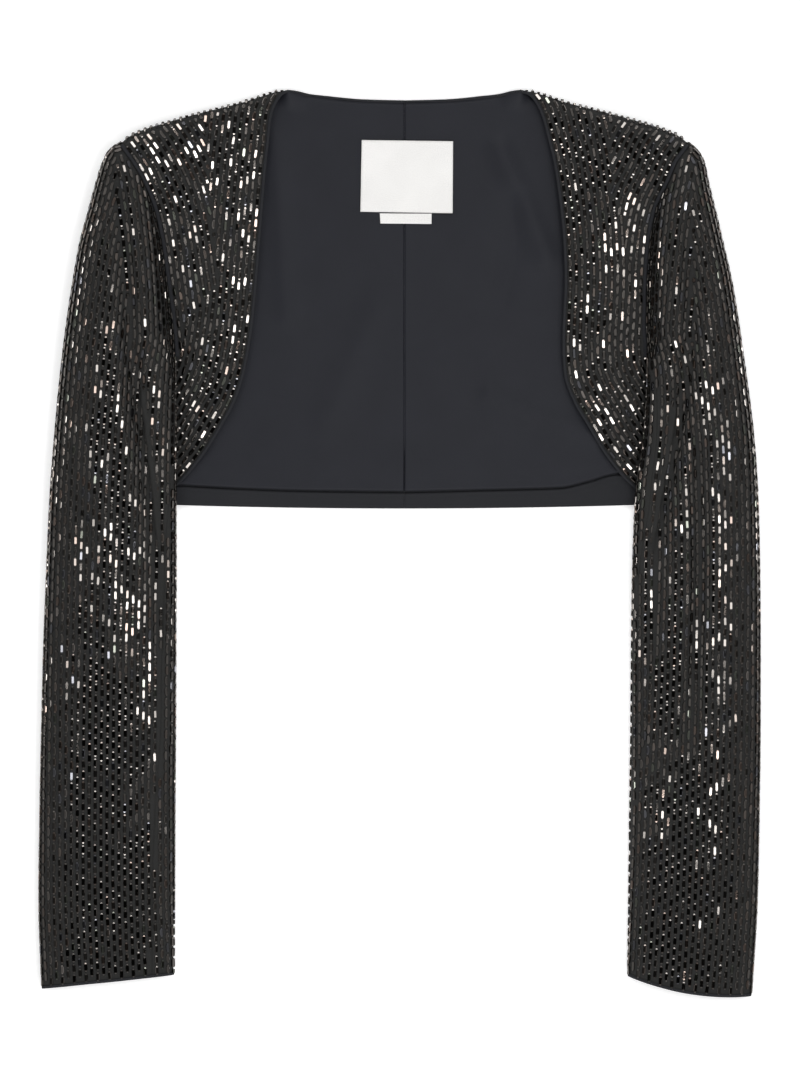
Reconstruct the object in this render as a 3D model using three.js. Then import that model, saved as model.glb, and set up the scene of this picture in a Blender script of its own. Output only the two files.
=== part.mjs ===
// Cropped open-front evening jacket with long set-in sleeves, laid flat on its back.
// Millimetres, +Z up, the hem and cuffs towards -Y. The jacket rests on the plane Z = 0.
// Every piece is a cloth wall: a grid of points on its outer face, and the same grid moved inwards.
// Places on the body are given as a, the distance out from the centre back line, and y.
import * as THREE from "three";

// Driving dimensions
const CENTRE_X = 4; // the centre back line, beside the middle of the whole outline
const CLOTH = 1.8; // embellished cloth on its backing
const LINING = 1.0;
const LABEL = 1.0;
const SEAM_GAP = 0.3; // between two pieces that are sewn together
const SLEEVE_SEAM = 0.26; // half the gap along a seam that runs down a sleeve
const UNDERARM_EASE = 0.9; // more of it where that seam climbs over the side of the body
const HEM_Y = 25.5; // the back hem at the centre
const HEM_RISE = 3.5; // how much higher the hem is at the side seam
const SIDE_A = 200; // centre back to side seam
const UNDERARM_Y = 137;
const NECK_A = 93; // centre back to the neck end of the shoulder seam
const SHOULDER_SEAM = Math.PI / 4; // how far round the padded shoulder its seam lies
const FRONT_Z = 11; // the front panel's height over the floor, beside its edge
const SIDE_Z = CLOTH * 2 + 0.5; // and at the side seam, where it lies on the back
const BODY_LIFT = 9.2; // how high a sleeve is carried where it crosses the body
const LINING_A = 172; // centre back to the side of the back lining that shows
const LINING_DROP = 2.3; // the lining's top below the back neckline
const HEM_FACING = 24; // how deep the cloth is turned up inside the back hem

// A table's rows as objects, with the names of its columns
const named = (columns, rows) => {
  return rows.map((row) => Object.fromEntries(columns.map((name, i) => [name, row[i]])));
};

// The back neckline and the top of the shoulder, and the radius of the padded shoulder's roll
const TOP_EDGE = [
  { a: 0, y: 331.2, radius: 5 },
  { a: 30, y: 332, radius: 5 },
  { a: 60, y: 334.8, radius: 5 },
  { a: 80, y: 338.2, radius: 5 },
  { a: 93, y: 340, radius: 5.5 },
  { a: 108, y: 336, radius: 6.6 },
  { a: 123, y: 331.2, radius: 7.8 },
  { a: 153, y: 323.5, radius: 9.9 },
  { a: 183, y: 315, radius: 11.8 },
  { a: 198, y: 310, radius: 12.7 },
  { a: 207, y: 305.5, radius: 13.2 },
  { a: 212, y: 301.5, radius: 13.5 },
];

// The back's outer edge: its armhole, then the underarm point, then the side seam
const BACK_EDGE = [
  { y: 20, a: 200 },
  { y: 132, a: 200 },
  { y: 137, a: 199.6 },
  { y: 148, a: 196.6 },
  { y: 167, a: 191.2 },
  { y: 193, a: 188.8 },
  { y: 220, a: 188.5 },
  { y: 240, a: 190.7 },
  { y: 258, a: 195.6 },
  { y: 271, a: 201.2 },
  { y: 281, a: 206.8 },
  { y: 288, a: 211.3 },
];

// The free lower edge of the lining. It sags more on the wearer's left.
const LINING_EDGE = {
  left: [
    { a: 0, y: 38.6 },
    { a: 78, y: 39.6 },
    { a: 123, y: 41.2 },
    { a: 190, y: 45 },
  ],
  right: [
    { a: 0, y: 38.6 },
    { a: 57, y: 40 },
    { a: 117, y: 41.8 },
    { a: 139, y: 46.6 },
    { a: 158, y: 52 },
    { a: 190, y: 55 },
  ],
};

// A sleeve's sections, from the shoulder to the cuff. in is the armhole seam down to row 8 and the
// inner fold below it, out is the outer fold, and back is the seam on the underside: the armhole down
// to row 8 and the hindarm seam below it. crown is the height of the section's top, midIn and midOut
// are the heights of its folds, bow curves the section towards the cuff, and fore says how far round
// the top from the inner fold the forearm seam lies, in radians, or under it where that is negative.
const SECTION = "inA inY outA outY backA backY crown midIn midOut bow fore".split(" ");
const SLEEVE = {
  left: named(SECTION, [
    [212.1, 297.6, 212.1, 301.5, 212.1, 288, 20.8, 0, 13.5, 0, 0],
    [208.5, 292.5, 221.8, 294.3, 207.7, 281, 27.5, 0, 14.5, 0, 0],
    [203.5, 285.5, 227.3, 283.5, 202.2, 271, 31.5, 0, 15.5, 0, 0],
    [195.5, 272, 231.2, 271, 196.6, 258, 34.5, 0, 16.5, 0, 0],
    [186.5, 250, 237.2, 249, 191.8, 240, 37, 0, 17.5, 0, 0],
    [181, 225, 243.6, 225, 189.5, 220, 38.5, 0, 18, 0, 0],
    [177, 195, 249, 195, 189.8, 193, 39, 0, 18, 0, 0],
    [173, 165, 253.5, 165, 192.2, 167, 39, 0, 18, 0, 0],
    [171.5, 146, 256, 146, 198.2, 148, 38.5, 12, 17.5, 0, 0],
    [170.5, 120, 259, 120, 209, 126, 37.5, 17, 17, 0, 0.02],
    [170.5, 80, 262.7, 80, 212, 84, 35.5, 18.5, 16.5, 0, 0.12],
    [170.5, 35, 266.2, 35, 212, 36, 33, 17.5, 15.5, 0, 0.42],
    [170.5, -20, 268.8, -20, 212, -20, 30.5, 13.5, 14, 0, 0.62],
    [170.8, -75, 271, -75, 213, -75, 28, 12, 13, 0, 0.64],
    [171, -135, 272.6, -135, 215, -135, 26, 11, 12, 0, 0.66],
    [171.5, -200, 274, -201, 216.5, -201, 23.5, 10, 11, 0, 0.78],
    [171.8, -262, 274.8, -267, 217.5, -265, 21, 9, 10, 0, 0.84],
    [172, -324, 272.8, -334.4, 218, -329.2, 19, 8.5, 9, 0, 0.84],
  ]),
  right: named(SECTION, [
    [212.1, 297.6, 212.1, 301.5, 212.1, 288, 20.8, 0, 13.5, 0, 0],
    [208.5, 292.5, 220.6, 294, 207.7, 281, 27.5, 0, 14.5, 0, 0],
    [203.5, 285.5, 225.9, 283.5, 202.2, 271, 31.5, 0, 15.5, 0, 0],
    [197, 270, 228.5, 270, 196.6, 258, 34.5, 0, 16.5, 0, 0],
    [187.5, 249, 233.8, 248, 191.8, 240, 37, 0, 17.5, 0, 0],
    [183, 225, 239.2, 225, 189.5, 220, 38.5, 0, 18, 0, 0],
    [181, 195, 246, 195, 189.8, 193, 39, 0, 18, 0, 0],
    [180.5, 165, 251, 165, 192.2, 167, 39, 0, 18, 0, 0],
    [181.5, 146, 253.7, 146, 198.2, 148, 38.5, 12, 17.5, 0, 0],
    [181, 120, 257.5, 120, 209, 126, 37.5, 17, 17, 0, 0.55],
    [178.5, 80, 262.4, 80, 212, 84, 35.5, 18, 16.5, 0, 0.68],
    [172.8, 38, 265.4, 38, 212, 38, 33, 17, 15.5, 0, 0.7],
    [170.6, -17, 267, -17, 212, -17, 30.5, 13.5, 14, 0, 0.44],
    [169.8, -75, 267.5, -75, 212, -75, 28, 12, 13, 0, 0.1],
    [169.3, -135, 267.5, -136, 213, -136, 26, 11, 12, 0, 0.06],
    [168.5, -200, 266.8, -202, 213, -201, 23.5, 10, 11, 1, 0.06],
    [167.8, -262, 265.4, -268, 212, -265, 21, 9, 10, 3, 0.06],
    [167, -325, 261.2, -340, 211, -332, 19, 8.5, 9, 5.5, 0.06],
  ]),
};
const CAP_ROWS = 8; // the last of the sleeve's rows that is sewn into the armhole
const UNDERARM_ROW = CAP_ROWS + 0.2; // where the under sleeve begins
const ELBOW_ROW = 14;

// The front panels' free edges, a row for each of the panel's sections from the shoulder down
const FRONT_EDGE = {
  left: [
    { a: 91.5, y: 335.2 },
    { a: 97.5, y: 327.2 },
    { a: 100.6, y: 318.0 },
    { a: 102.5, y: 300.0 },
    { a: 104.5, y: 283.0 },
    { a: 106.8, y: 255.0 },
    { a: 109.0, y: 228.0 },
    { a: 111.5, y: 197.0 },
    { a: 114.0, y: 170.0 },
    { a: 117.5, y: 145.0 },
    { a: 122.0, y: 124.0 },
    { a: 128.5, y: 105.0 },
    { a: 138.0, y: 88.0 },
    { a: 149.5, y: 69.0 },
    { a: 160.0, y: 55.5 },
    { a: 172.0, y: 43.0 },
    { a: 186.0, y: 34.0 },
  ],
  right: [
    { a: 93.5, y: 335.2 },
    { a: 100.0, y: 327.5 },
    { a: 104.5, y: 318.0 },
    { a: 108.5, y: 303.0 },
    { a: 112.5, y: 287.0 },
    { a: 117.0, y: 258.0 },
    { a: 120.0, y: 228.0 },
    { a: 121.2, y: 197.0 },
    { a: 120.3, y: 172.0 },
    { a: 119.4, y: 150.0 },
    { a: 121.0, y: 127.0 },
    { a: 128.0, y: 106.0 },
    { a: 138.0, y: 89.0 },
    { a: 149.5, y: 69.5 },
    { a: 160.0, y: 55.5 },
    { a: 172.0, y: 43.0 },
    { a: 186.0, y: 34.0 },
  ],
};

// The front panel's side seam, below the underarm, for the last of its rows
const FRONT_SIDE_Y = [134.5, 112, 84, 61, 45, 32.5];

// Soft creases. Each runs along a line of points, given as a, y and how far the cloth is raised there, or
// sunk where that is negative. width is how far from the line it fades out.
const FRONT_CREASES = {
  left: [
    { width: 8, line: [[170, 166, 1.8], [128, 170, 1.8]] },
    { width: 13, line: [[172, 148, -1.6], [140, 128, -1.6]] },
    { width: 15, line: [[162, 262, 2], [128, 196, 2]] },
  ],
  right: [
    { width: 9, line: [[180, 176, 2], [124, 150, 2]] },
    { width: 12, line: [[180, 156, -1.8], [132, 124, -1.8]] },
    { width: 15, line: [[164, 262, 1.8], [132, 200, 1.8]] },
  ],
};
const SLEEVE_CREASES = {
  left: [
    {
      width: 9,
      line: [[214, 262, -5], [207, 189, -7], [200.5, 114, -8], [190.7, 32, -7], [181, -73, -4.5]],
    },
    { width: 11, line: [[238, 90, 1.8], [212, -90, 1.8]] },
    { width: 8, line: [[172, -150, 1.6], [205, -182, 1.6]] },
    { width: 9, line: [[174, -196, -1.6], [208, -224, -1.6]] },
  ],
  right: [
    { width: 9, line: [[214, 240, -5.5], [214, 159, -7.5], [205, 90, -8], [190, 0, -6], [184, -80, -3.5]] },
    { width: 7, line: [[219.5, 84, -5], [221, -40, -5.5], [214, -150, -4]] },
    { width: 7, line: [[170, -138, 2.2], [199, -153, 2.2]] },
    { width: 8, line: [[169, -184, 2.2], [193, -214, 2.2]] },
    { width: 8, line: [[170, -162, -2.2], [200, -182, -2.2]] },
  ],
};

// How many points each wall has, along and across
const GRID = {
  back: { rows: 13, rollRows: 5 },
  lining: { rows: 8, columns: 7 },
  facing: { rows: 2, columns: 9 },
  front: { lowRows: 11 },
  sleeveTop: { columns: 20 },
  sleeveUnder: { columns: 11 },
};
const ROW_STEP = 0.5; // between the rows of points on a sleeve, and on the front beside it

// Where the columns of points cross the shoulder seam. The back and the front share them.
const BODY_COLUMNS = [0, 22, 44, 62, 78, 93, 108, 123, 138, 153, 168, 183, 195, 204, 212];

const lerp = (p, q, t) => p + (q - p) * t;
const clamp = (x) => Math.min(1, Math.max(0, x));
function smoothstep(from, to, x) {
  const t = clamp((x - from) / (to - from));
  return t * t * (3 - 2 * t);
}

// A smooth curve through a table's rows that never swings past them: the value of column where key is x
function read(table, key, column, x) {
  const at = (i) => (key === null ? i : table[i][key]);
  const last = table.length - 1;
  if (x <= at(0)) return table[0][column];
  if (x >= at(last)) return table[last][column];
  let i = 0;
  while (at(i + 1) < x) i += 1;
  const rise = (k) => (table[k + 1][column] - table[k][column]) / (at(k + 1) - at(k));
  const slope = (k) => {
    if (k === 0) return rise(0);
    if (k === last) return rise(last - 1);
    const before = rise(k - 1);
    const after = rise(k);
    return before * after <= 0 ? 0 : (2 * before * after) / (before + after);
  };
  const span = at(i + 1) - at(i);
  const t = (x - at(i)) / span;
  const t2 = t * t;
  const t3 = t2 * t;
  return (
    (2 * t3 - 3 * t2 + 1) * table[i][column] +
    (t3 - 2 * t2 + t) * span * slope(i) +
    (3 * t2 - 2 * t3) * table[i + 1][column] +
    (t3 - t2) * span * slope(i + 1)
  );
}

// The height that a table of creases adds at a point
function creaseHeight(creases, a, y) {
  let height = 0;
  for (const { width, line } of creases) {
    let nearest = { away: Infinity, rise: 0 };
    for (let i = 0; i + 1 < line.length; i += 1) {
      const [a0, y0, rise0] = line[i];
      const [a1, y1, rise1] = line[i + 1];
      const t = clamp(((a - a0) * (a1 - a0) + (y - y0) * (y1 - y0)) / ((a1 - a0) ** 2 + (y1 - y0) ** 2));
      const away = Math.hypot(a - lerp(a0, a1, t), y - lerp(y0, y1, t)) / width;
      if (away < nearest.away) nearest = { away, rise: lerp(rise0, rise1, t) };
    }
    height += nearest.rise * Math.exp(-(nearest.away ** 2) * 1.6);
  }
  return height;
}

const topY = (a) => read(TOP_EDGE, "a", "y", a);
const rollRadius = (a) => read(TOP_EDGE, "a", "radius", a);
const rollEnd = (a) => lerp((-78 * Math.PI) / 180, SHOULDER_SEAM, smoothstep(56, NECK_A, a));
const rollCentreY = (a) => topY(a) - rollRadius(a) * Math.cos(Math.min(0, rollEnd(a)));
const shoulderSeamY = (a) => rollCentreY(a) + rollRadius(a) * Math.cos(SHOULDER_SEAM);
const hemY = (a) => HEM_Y + HEM_RISE * (a / SIDE_A) ** 2;

// The front panel's outer face, as a height over the floor
function frontHeight(side, a, y) {
  const radius = rollRadius(a);
  const past = y - rollCentreY(a);
  if (past > 0) return radius + Math.sqrt(Math.max(0, radius * radius - past * past));
  const slope = smoothstep(0, 150, -past);
  const toSide = smoothstep(152, SIDE_A - 6, a);
  const toHem = smoothstep(130, 45, y);
  const low = lerp(FRONT_Z - 1.5 * toHem, SIDE_Z, toSide);
  const underSleeve = smoothstep(168, 130, y) * smoothstep(150, 172, a);
  const chest = 4.5 * Math.exp(-(((a - 150) / 36) ** 2) - ((y - 222) / 52) ** 2);
  const lying = Math.min(low, lerp(FRONT_Z, 7, underSleeve));
  const shaped = lerp(2 * radius, lying, slope) + chest * (1 - 0.7 * underSleeve);
  return shaped + creaseHeight(FRONT_CREASES[side], a, y) * smoothstep(SIDE_A, SIDE_A - 30, a);
}

// How far a sleeve's underside is carried above the floor by the body under it
function bodyLift(a, y) {
  const inFromSide = smoothstep(SIDE_A + 8, SIDE_A + 0.5, a);
  const belowArmhole = smoothstep(UNDERARM_Y + 13, UNDERARM_Y, y);
  const aboveHem = smoothstep(HEM_Y - 24, HEM_Y + 2, y);
  return BODY_LIFT * inFromSide * belowArmhole * aboveHem;
}

// A point of a sleeve's outer face. row runs down the table of sections. turn runs round a section:
// 0 to PI is its top from the inner to the outer fold, PI to 3 PI/2 the roll under the outer fold, and
// the next 1 the underside as far as the back seam. 0 to -PI/2 is the roll under the inner fold, and
// the 1 before that the underside as far as the back seam, from the other way.
function sleevePoint(side, row, turn) {
  const table = SLEEVE[side];
  const get = (column) => read(table, null, column, row);
  const inner = { a: get("inA"), y: get("inY") };
  const outer = { a: get("outA"), y: get("outY") };
  const back = { a: get("backA"), y: get("backY") };
  const sewn = 1 - smoothstep(CAP_ROWS - 0.5, CAP_ROWS + 0.5, row);
  const seamHeight = frontHeight(side, inner.a, inner.y) - CLOTH / 2;
  const midIn = lerp(get("midIn"), seamHeight, sewn);
  const midOut = get("midOut");
  const place = (from, to, share, z) => {
    const a = lerp(from.a, to.a, share);
    const across = (a - outer.a) / (inner.a - outer.a || 1);
    const bow = 4 * get("bow") * across * (1 - across);
    return { a, y: lerp(from.y, to.y, share) - bow, z };
  };
  if (turn >= 0 && turn <= Math.PI) {
    const across = (1 + Math.cos(turn)) / 2; // 1 at the inner fold, 0 at the outer
    const power = across > 0.5 ? lerp(2.2, 1.9, sewn) : 2.3;
    const swell = (1 - Math.abs(Math.cos(turn)) ** power) ** (1 / power);
    const mid = lerp(midOut, midIn, across);
    const flat = place(outer, inner, across, 0);
    const crease = creaseHeight(SLEEVE_CREASES[side], flat.a, flat.y) * smoothstep(0, 1.5, row);
    return { ...flat, z: mid + (get("crown") - mid + crease) * swell };
  }
  const under = turn > 0;
  const edge = under ? outer : inner;
  const mid = under ? midOut : midIn;
  const span = Math.hypot(back.a - edge.a, back.y - edge.y);
  const roll = Math.min(under ? lerp(13.5, 11, clamp(row / 17)) : 9, span * 0.98);
  const round = Math.min(Math.PI / 2, under ? turn - Math.PI : -turn);
  const along = Math.max(0, (under ? turn - Math.PI : -turn) - Math.PI / 2);
  const share = (roll * (1 - Math.cos(round)) + (span - roll) * along) / span;
  const p = place(edge, back, share, 0);
  const ground = bodyLift(p.a, p.y);
  return { ...p, z: ground + (mid - ground) * (1 - Math.sin(round)) };
}

// A point of the back's outer face: along 0 to 1 is flat on the floor from the hem, and 1 to 2 goes
// round the shoulder's roll to its seam, or up the neckline
function backPoint(a, along, from = hemY) {
  if (along <= 1) return { a, y: lerp(from(a), rollCentreY(a), along), z: 0 };
  const turn = lerp(-Math.PI / 2, rollEnd(a), along - 1);
  const radius = rollRadius(a);
  return { a, y: rollCentreY(a) + radius * Math.cos(turn), z: radius + radius * Math.sin(turn) };
}

// The back's width at a height, found by walking in from the shoulder
function backEdge(along) {
  let a = SIDE_A;
  for (let i = 0; i < 12; i += 1) a = read(BACK_EDGE, "y", "a", backPoint(a, Math.min(1, along)).y);
  return along <= 1 ? a : lerp(a, 211.6, Math.sin(((along - 1) * Math.PI) / 2));
}

// A point of the front's outer face. row runs down its table of sections, and across from its free
// edge at 0 to the armhole or the side seam at 1.
function frontPoint(side, row, across) {
  const edges = FRONT_EDGE[side];
  const notch = SLEEVE[side][CAP_ROWS];
  const outers = edges.map((_, i) => {
    if (i <= CAP_ROWS) return { a: SLEEVE[side][i].inA - 0.6, y: SLEEVE[side][i].inY };
    if (i === CAP_ROWS + 1) return { a: notch.inA + 1.5, y: notch.inY - 6 };
    if (i === CAP_ROWS + 2) return { a: lerp(notch.inA, SIDE_A, 0.45), y: UNDERARM_Y - 1.5 };
    return { a: SIDE_A - 0.6, y: FRONT_SIDE_Y[i - CAP_ROWS - 3] };
  });
  const a = lerp(read(edges, null, "a", row), read(outers, null, "a", row), across);
  const straight = lerp(read(edges, null, "y", row), read(outers, null, "y", row), across);
  const firstA = lerp(edges[0].a, outers[0].a, across);
  const toSeam = shoulderSeamY(firstA) - SEAM_GAP - lerp(edges[0].y, outers[0].y, across);
  const y = straight + toSeam * clamp(1 - row / 4) ** 2;
  return { a, y, z: frontHeight(side, a, y) };
}

// Turns a place on the body into a point of the model. side is left for -X and right for +X.
function toModel(side, p) {
  return new THREE.Vector3(CENTRE_X + (side === "left" ? -p.a : p.a), p.y, p.z);
}

// A closed wall from a grid of points on one face and the grid of the same size on the other
function wall(outer, inner) {
  const rows = outer.length;
  const columns = outer[0].length;
  const points = [...outer.flat(), ...inner.flat()];
  const index = (face, i, j) => face * rows * columns + i * columns + j;
  const faces = [];
  const quad = (p, q, r, s) => faces.push(p, q, r, p, r, s);
  for (let i = 0; i + 1 < rows; i += 1) {
    for (let j = 0; j + 1 < columns; j += 1) {
      quad(index(0, i, j), index(0, i + 1, j), index(0, i + 1, j + 1), index(0, i, j + 1));
      quad(index(1, i, j + 1), index(1, i + 1, j + 1), index(1, i + 1, j), index(1, i, j));
    }
    const end = columns - 1;
    quad(index(0, i + 1, 0), index(0, i, 0), index(1, i, 0), index(1, i + 1, 0));
    quad(index(0, i, end), index(0, i + 1, end), index(1, i + 1, end), index(1, i, end));
  }
  for (let j = 0; j + 1 < columns; j += 1) {
    const end = rows - 1;
    quad(index(0, 0, j), index(0, 0, j + 1), index(1, 0, j + 1), index(1, 0, j));
    quad(index(0, end, j + 1), index(0, end, j), index(1, end, j), index(1, end, j + 1));
  }
  let volume = 0;
  for (let i = 0; i < faces.length; i += 3) {
    volume += points[faces[i]].dot(points[faces[i + 1]].clone().cross(points[faces[i + 2]]));
  }
  if (volume < 0) faces.reverse();
  const geometry = new THREE.BufferGeometry().setFromPoints(points);
  geometry.setIndex(faces);
  geometry.computeVertexNormals();
  return geometry;
}

// The wall of a surface: at(u, v) gives a point of its outer face, us and vs(u) the places of its grid
// lines, and inward points from the outer face into the wall. from and to are depths below that face.
function surfaceWall(at, us, vs, inward, from, to) {
  const step = 1e-3;
  const shift = (u, v, depth) => {
    const p = at(u, v);
    const alongU = at(u + step, v).sub(at(u - step, v));
    const alongV = at(u, v + step).sub(at(u, v - step));
    const normal = alongU.cross(alongV).normalize();
    if (normal.dot(inward(p)) < 0) normal.negate();
    return p.addScaledVector(normal, depth);
  };
  const grid = (depth) => us.map((u) => vs(u).map((v) => shift(u, v, depth)));
  return wall(grid(from), grid(to));
}

const bodyAcross = (from) => {
  const kept = BODY_COLUMNS.filter((a) => a >= from);
  return kept.map((a) => (a - kept[0]) / (kept.at(-1) - kept[0]));
};
const spread = (from, to, count) => Array.from({ length: count }, (_, i) => lerp(from, to, i / (count - 1)));

// Places round a section of a sleeve, as far apart as each other along the cloth, less a trim at its ends
function evenTurns(side, row, from, to, count, trimFrom, trimTo) {
  const turns = spread(from, to, 160);
  const lengths = [0];
  let before = sleevePoint(side, row, turns[0]);
  for (const turn of turns.slice(1)) {
    const p = sleevePoint(side, row, turn);
    lengths.push(lengths.at(-1) + Math.hypot(p.a - before.a, p.y - before.y, p.z - before.z));
    before = p;
  }
  return spread(trimFrom, lengths.at(-1) - trimTo, count).map((length) => {
    let i = 0;
    while (i < lengths.length - 2 && lengths[i + 1] < length) i += 1;
    return lerp(turns[i], turns[i + 1], clamp((length - lengths[i]) / (lengths[i + 1] - lengths[i])));
  });
}

const materials = {
  crystal: { color: 0x2b2927, roughness: 0.3, metalness: 0.15 },
  lining: { color: 0x33343a, roughness: 0.55, metalness: 0 },
  cloth: { color: 0x343637, roughness: 0.85, metalness: 0 },
  label: { color: 0xf2f1ee, roughness: 0.7, metalness: 0 },
};

function piece(name, geometry, material) {
  const mesh = new THREE.Mesh(geometry, new THREE.MeshStandardMaterial(materials[material]));
  mesh.name = name;
  return mesh;
}

const upwards = () => new THREE.Vector3(0, 0, 1);

function backPanel(side) {
  const { rows, rollRows } = GRID.back;
  const alongs = [...spread(0, 1, rows), ...spread(1, 2, rollRows).slice(1)];
  const at = (along, across) => {
    const edge = backEdge(along) - (along > 0.985 ? 0 : SEAM_GAP);
    return toModel(side, backPoint(lerp(SEAM_GAP / 2, edge, across), along));
  };
  // Up from the part on the floor, and into the shoulder's roll beyond it
  const inward = (p) => new THREE.Vector3(0, -smoothstep(280, 300, p.y), p.z > 12 ? -1 : 1);
  const shape = surfaceWall(at, alongs, () => bodyAcross(0), inward, 0, CLOTH);
  return piece(`back_${side}`, shape, "crystal");
}

function backLining(side) {
  const { rows, columns } = GRID.lining;
  const lowEdge = (a) => read(LINING_EDGE[side], "a", "y", a);
  const alongs = [0, 0.05, 0.1, ...spread(0.2, 1, rows)];
  const at = (along, across) => {
    const a = lerp(SEAM_GAP / 2, LINING_A, across);
    const high = Math.min(topY(a) - LINING_DROP, rollCentreY(a) - 0.4);
    const y = lerp(lowEdge(a), high, along);
    const loose = 1.4 * (1 - smoothstep(hemY(a) + HEM_FACING + 2, hemY(a) + HEM_FACING + 25, y));
    return toModel(side, { a, y, z: loose });
  };
  const bottom = CLOTH + SEAM_GAP + 0.1;
  const acrosses = () => spread(0, 1, columns);
  const shape = surfaceWall(at, alongs, acrosses, upwards, bottom, bottom + LINING);
  return piece(`back_lining_${side}`, shape, "lining");
}

function hemFacing(side) {
  const { rows, columns } = GRID.facing;
  const at = (along, across) => {
    const a = lerp(SEAM_GAP / 2, LINING_A + 4, across);
    return toModel(side, { a, y: hemY(a) + 0.4 + HEM_FACING * along, z: 0 });
  };
  const bottom = CLOTH + SEAM_GAP;
  const acrosses = () => spread(0, 1, columns);
  const shape = surfaceWall(at, spread(0, 1, rows), acrosses, upwards, bottom, bottom + LINING);
  return piece(`hem_facing_${side}`, shape, "cloth");
}

function frontPanel(side) {
  const last = FRONT_EDGE[side].length - 1;
  const armhole = spread(0, CAP_ROWS, CAP_ROWS / ROW_STEP + 1);
  const rows = [...armhole, ...spread(CAP_ROWS, last, GRID.front.lowRows + 1).slice(1)];
  const at = (row, across) => toModel(side, frontPoint(side, row, across));
  const inward = (p) => new THREE.Vector3(0, p.y > 290 ? -0.6 : 0, -1);
  const shape = surfaceWall(at, rows, () => bodyAcross(NECK_A), inward, 0, CLOTH);
  return piece(`front_${side}`, shape, "crystal");
}

// A sleeve's two pieces share one surface and meet at the forearm and hindarm seams
const foreSeam = (side, row) => read(SLEEVE[side], null, "fore", row);

function sleeveRows(side, first) {
  const last = SLEEVE[side].length - 1;
  const bending = spread(0, ELBOW_ROW, ELBOW_ROW / ROW_STEP + 1);
  const rows = [...bending, UNDERARM_ROW, ...spread(ELBOW_ROW, last, last - ELBOW_ROW + 1).slice(1)];
  return rows.filter((row) => row >= first).sort((p, q) => p - q);
}

function sleeveTop(side) {
  const turns = (row) => {
    const trim = row < CAP_ROWS ? 0 : SLEEVE_SEAM;
    const { columns } = GRID.sleeveTop;
    return evenTurns(side, row, foreSeam(side, row), Math.PI * 1.5 + 1, columns, trim, SLEEVE_SEAM);
  };
  return sleevePiece(`sleeve_top_${side}`, side, sleeveRows(side, 0), turns);
}

function sleeveUnder(side) {
  const turns = (row) => {
    const trim = SLEEVE_SEAM + UNDERARM_EASE * smoothstep(CAP_ROWS + 2, CAP_ROWS + 1, row);
    const { columns } = GRID.sleeveUnder;
    return evenTurns(side, row, -Math.PI / 2 - 1, foreSeam(side, row), columns, trim, SLEEVE_SEAM);
  };
  return sleevePiece(`sleeve_under_${side}`, side, sleeveRows(side, UNDERARM_ROW), turns);
}

function sleevePiece(name, side, rows, turns) {
  const grids = [[], []];
  for (const row of rows) {
    const line = [[], []];
    for (const turn of turns(row)) {
      const at = (r, t) => toModel(side, sleevePoint(side, r, t));
      const step = 2e-3;
      const low = Math.max(0, row - step * 10);
      const high = Math.min(SLEEVE[side].length - 1, row + step * 10);
      const p = at(row, turn);
      const alongRow = at(high, turn).sub(at(low, turn));
      const alongTurn = at(row, turn + step).sub(at(row, turn - step));
      const normal = alongRow.cross(alongTurn);
      if (row === 0) normal.x = 0;
      normal.normalize();
      if (side === "right") normal.negate();
      const wrongWay = turn > 0 && turn < Math.PI ? normal.z > 0.3 : normal.z < -0.3;
      if (wrongWay) normal.negate();
      line[0].push(p);
      line[1].push(p.clone().addScaledVector(normal, CLOTH));
    }
    grids[0].push(line[0]);
    grids[1].push(line[1]);
  }
  return piece(name, wall(grids[0], grids[1]), "crystal");
}

// A plain woven label and the tab below it, on the lining under the neckline
function label(name, left, right, top, bottom, skew) {
  const z = CLOTH + SEAM_GAP + 0.1 + LINING + SEAM_GAP;
  const point = (x, y, height) => new THREE.Vector3(x, y, height);
  const corners = (height) => [
    [point(left, top, height), point(right, top, height)],
    [point(left - skew, bottom, height), point(right + skew * 0.3, bottom, height)],
  ];
  return piece(name, wall(corners(z + LABEL), corners(z)), "label");
}

const jacket = new THREE.Group();
for (const side of ["left", "right"]) {
  jacket.add(backPanel(side), backLining(side), hemFacing(side), frontPanel(side));
  jacket.add(sleeveTop(side), sleeveUnder(side));
}
jacket.add(label("neck_label", -29.5, 40.5, 302.5, 247.5, 1.2));
jacket.add(label("size_label", -14.5, 24.5, 247.1, 238.8, 0));

export default jacket;
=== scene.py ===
"""A cropped jacket covered in baguette stones, laid flat: cloth, stones, bindings and lining."""
import math

import bpy
import numpy as np
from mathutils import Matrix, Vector


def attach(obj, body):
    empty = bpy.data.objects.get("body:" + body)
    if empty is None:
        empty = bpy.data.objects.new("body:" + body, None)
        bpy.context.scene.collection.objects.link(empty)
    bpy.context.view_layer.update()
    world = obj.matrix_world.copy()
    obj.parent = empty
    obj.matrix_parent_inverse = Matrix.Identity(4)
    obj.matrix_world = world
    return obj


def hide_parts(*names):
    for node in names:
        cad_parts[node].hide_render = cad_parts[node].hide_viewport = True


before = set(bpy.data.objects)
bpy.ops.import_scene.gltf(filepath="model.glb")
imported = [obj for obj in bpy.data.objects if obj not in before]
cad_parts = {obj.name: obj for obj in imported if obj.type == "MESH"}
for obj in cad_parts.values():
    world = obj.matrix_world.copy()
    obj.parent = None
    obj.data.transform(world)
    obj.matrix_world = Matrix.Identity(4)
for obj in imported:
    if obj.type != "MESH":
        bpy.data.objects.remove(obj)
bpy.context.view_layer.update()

MM = 0.001
rng = np.random.default_rng(41)

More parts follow.
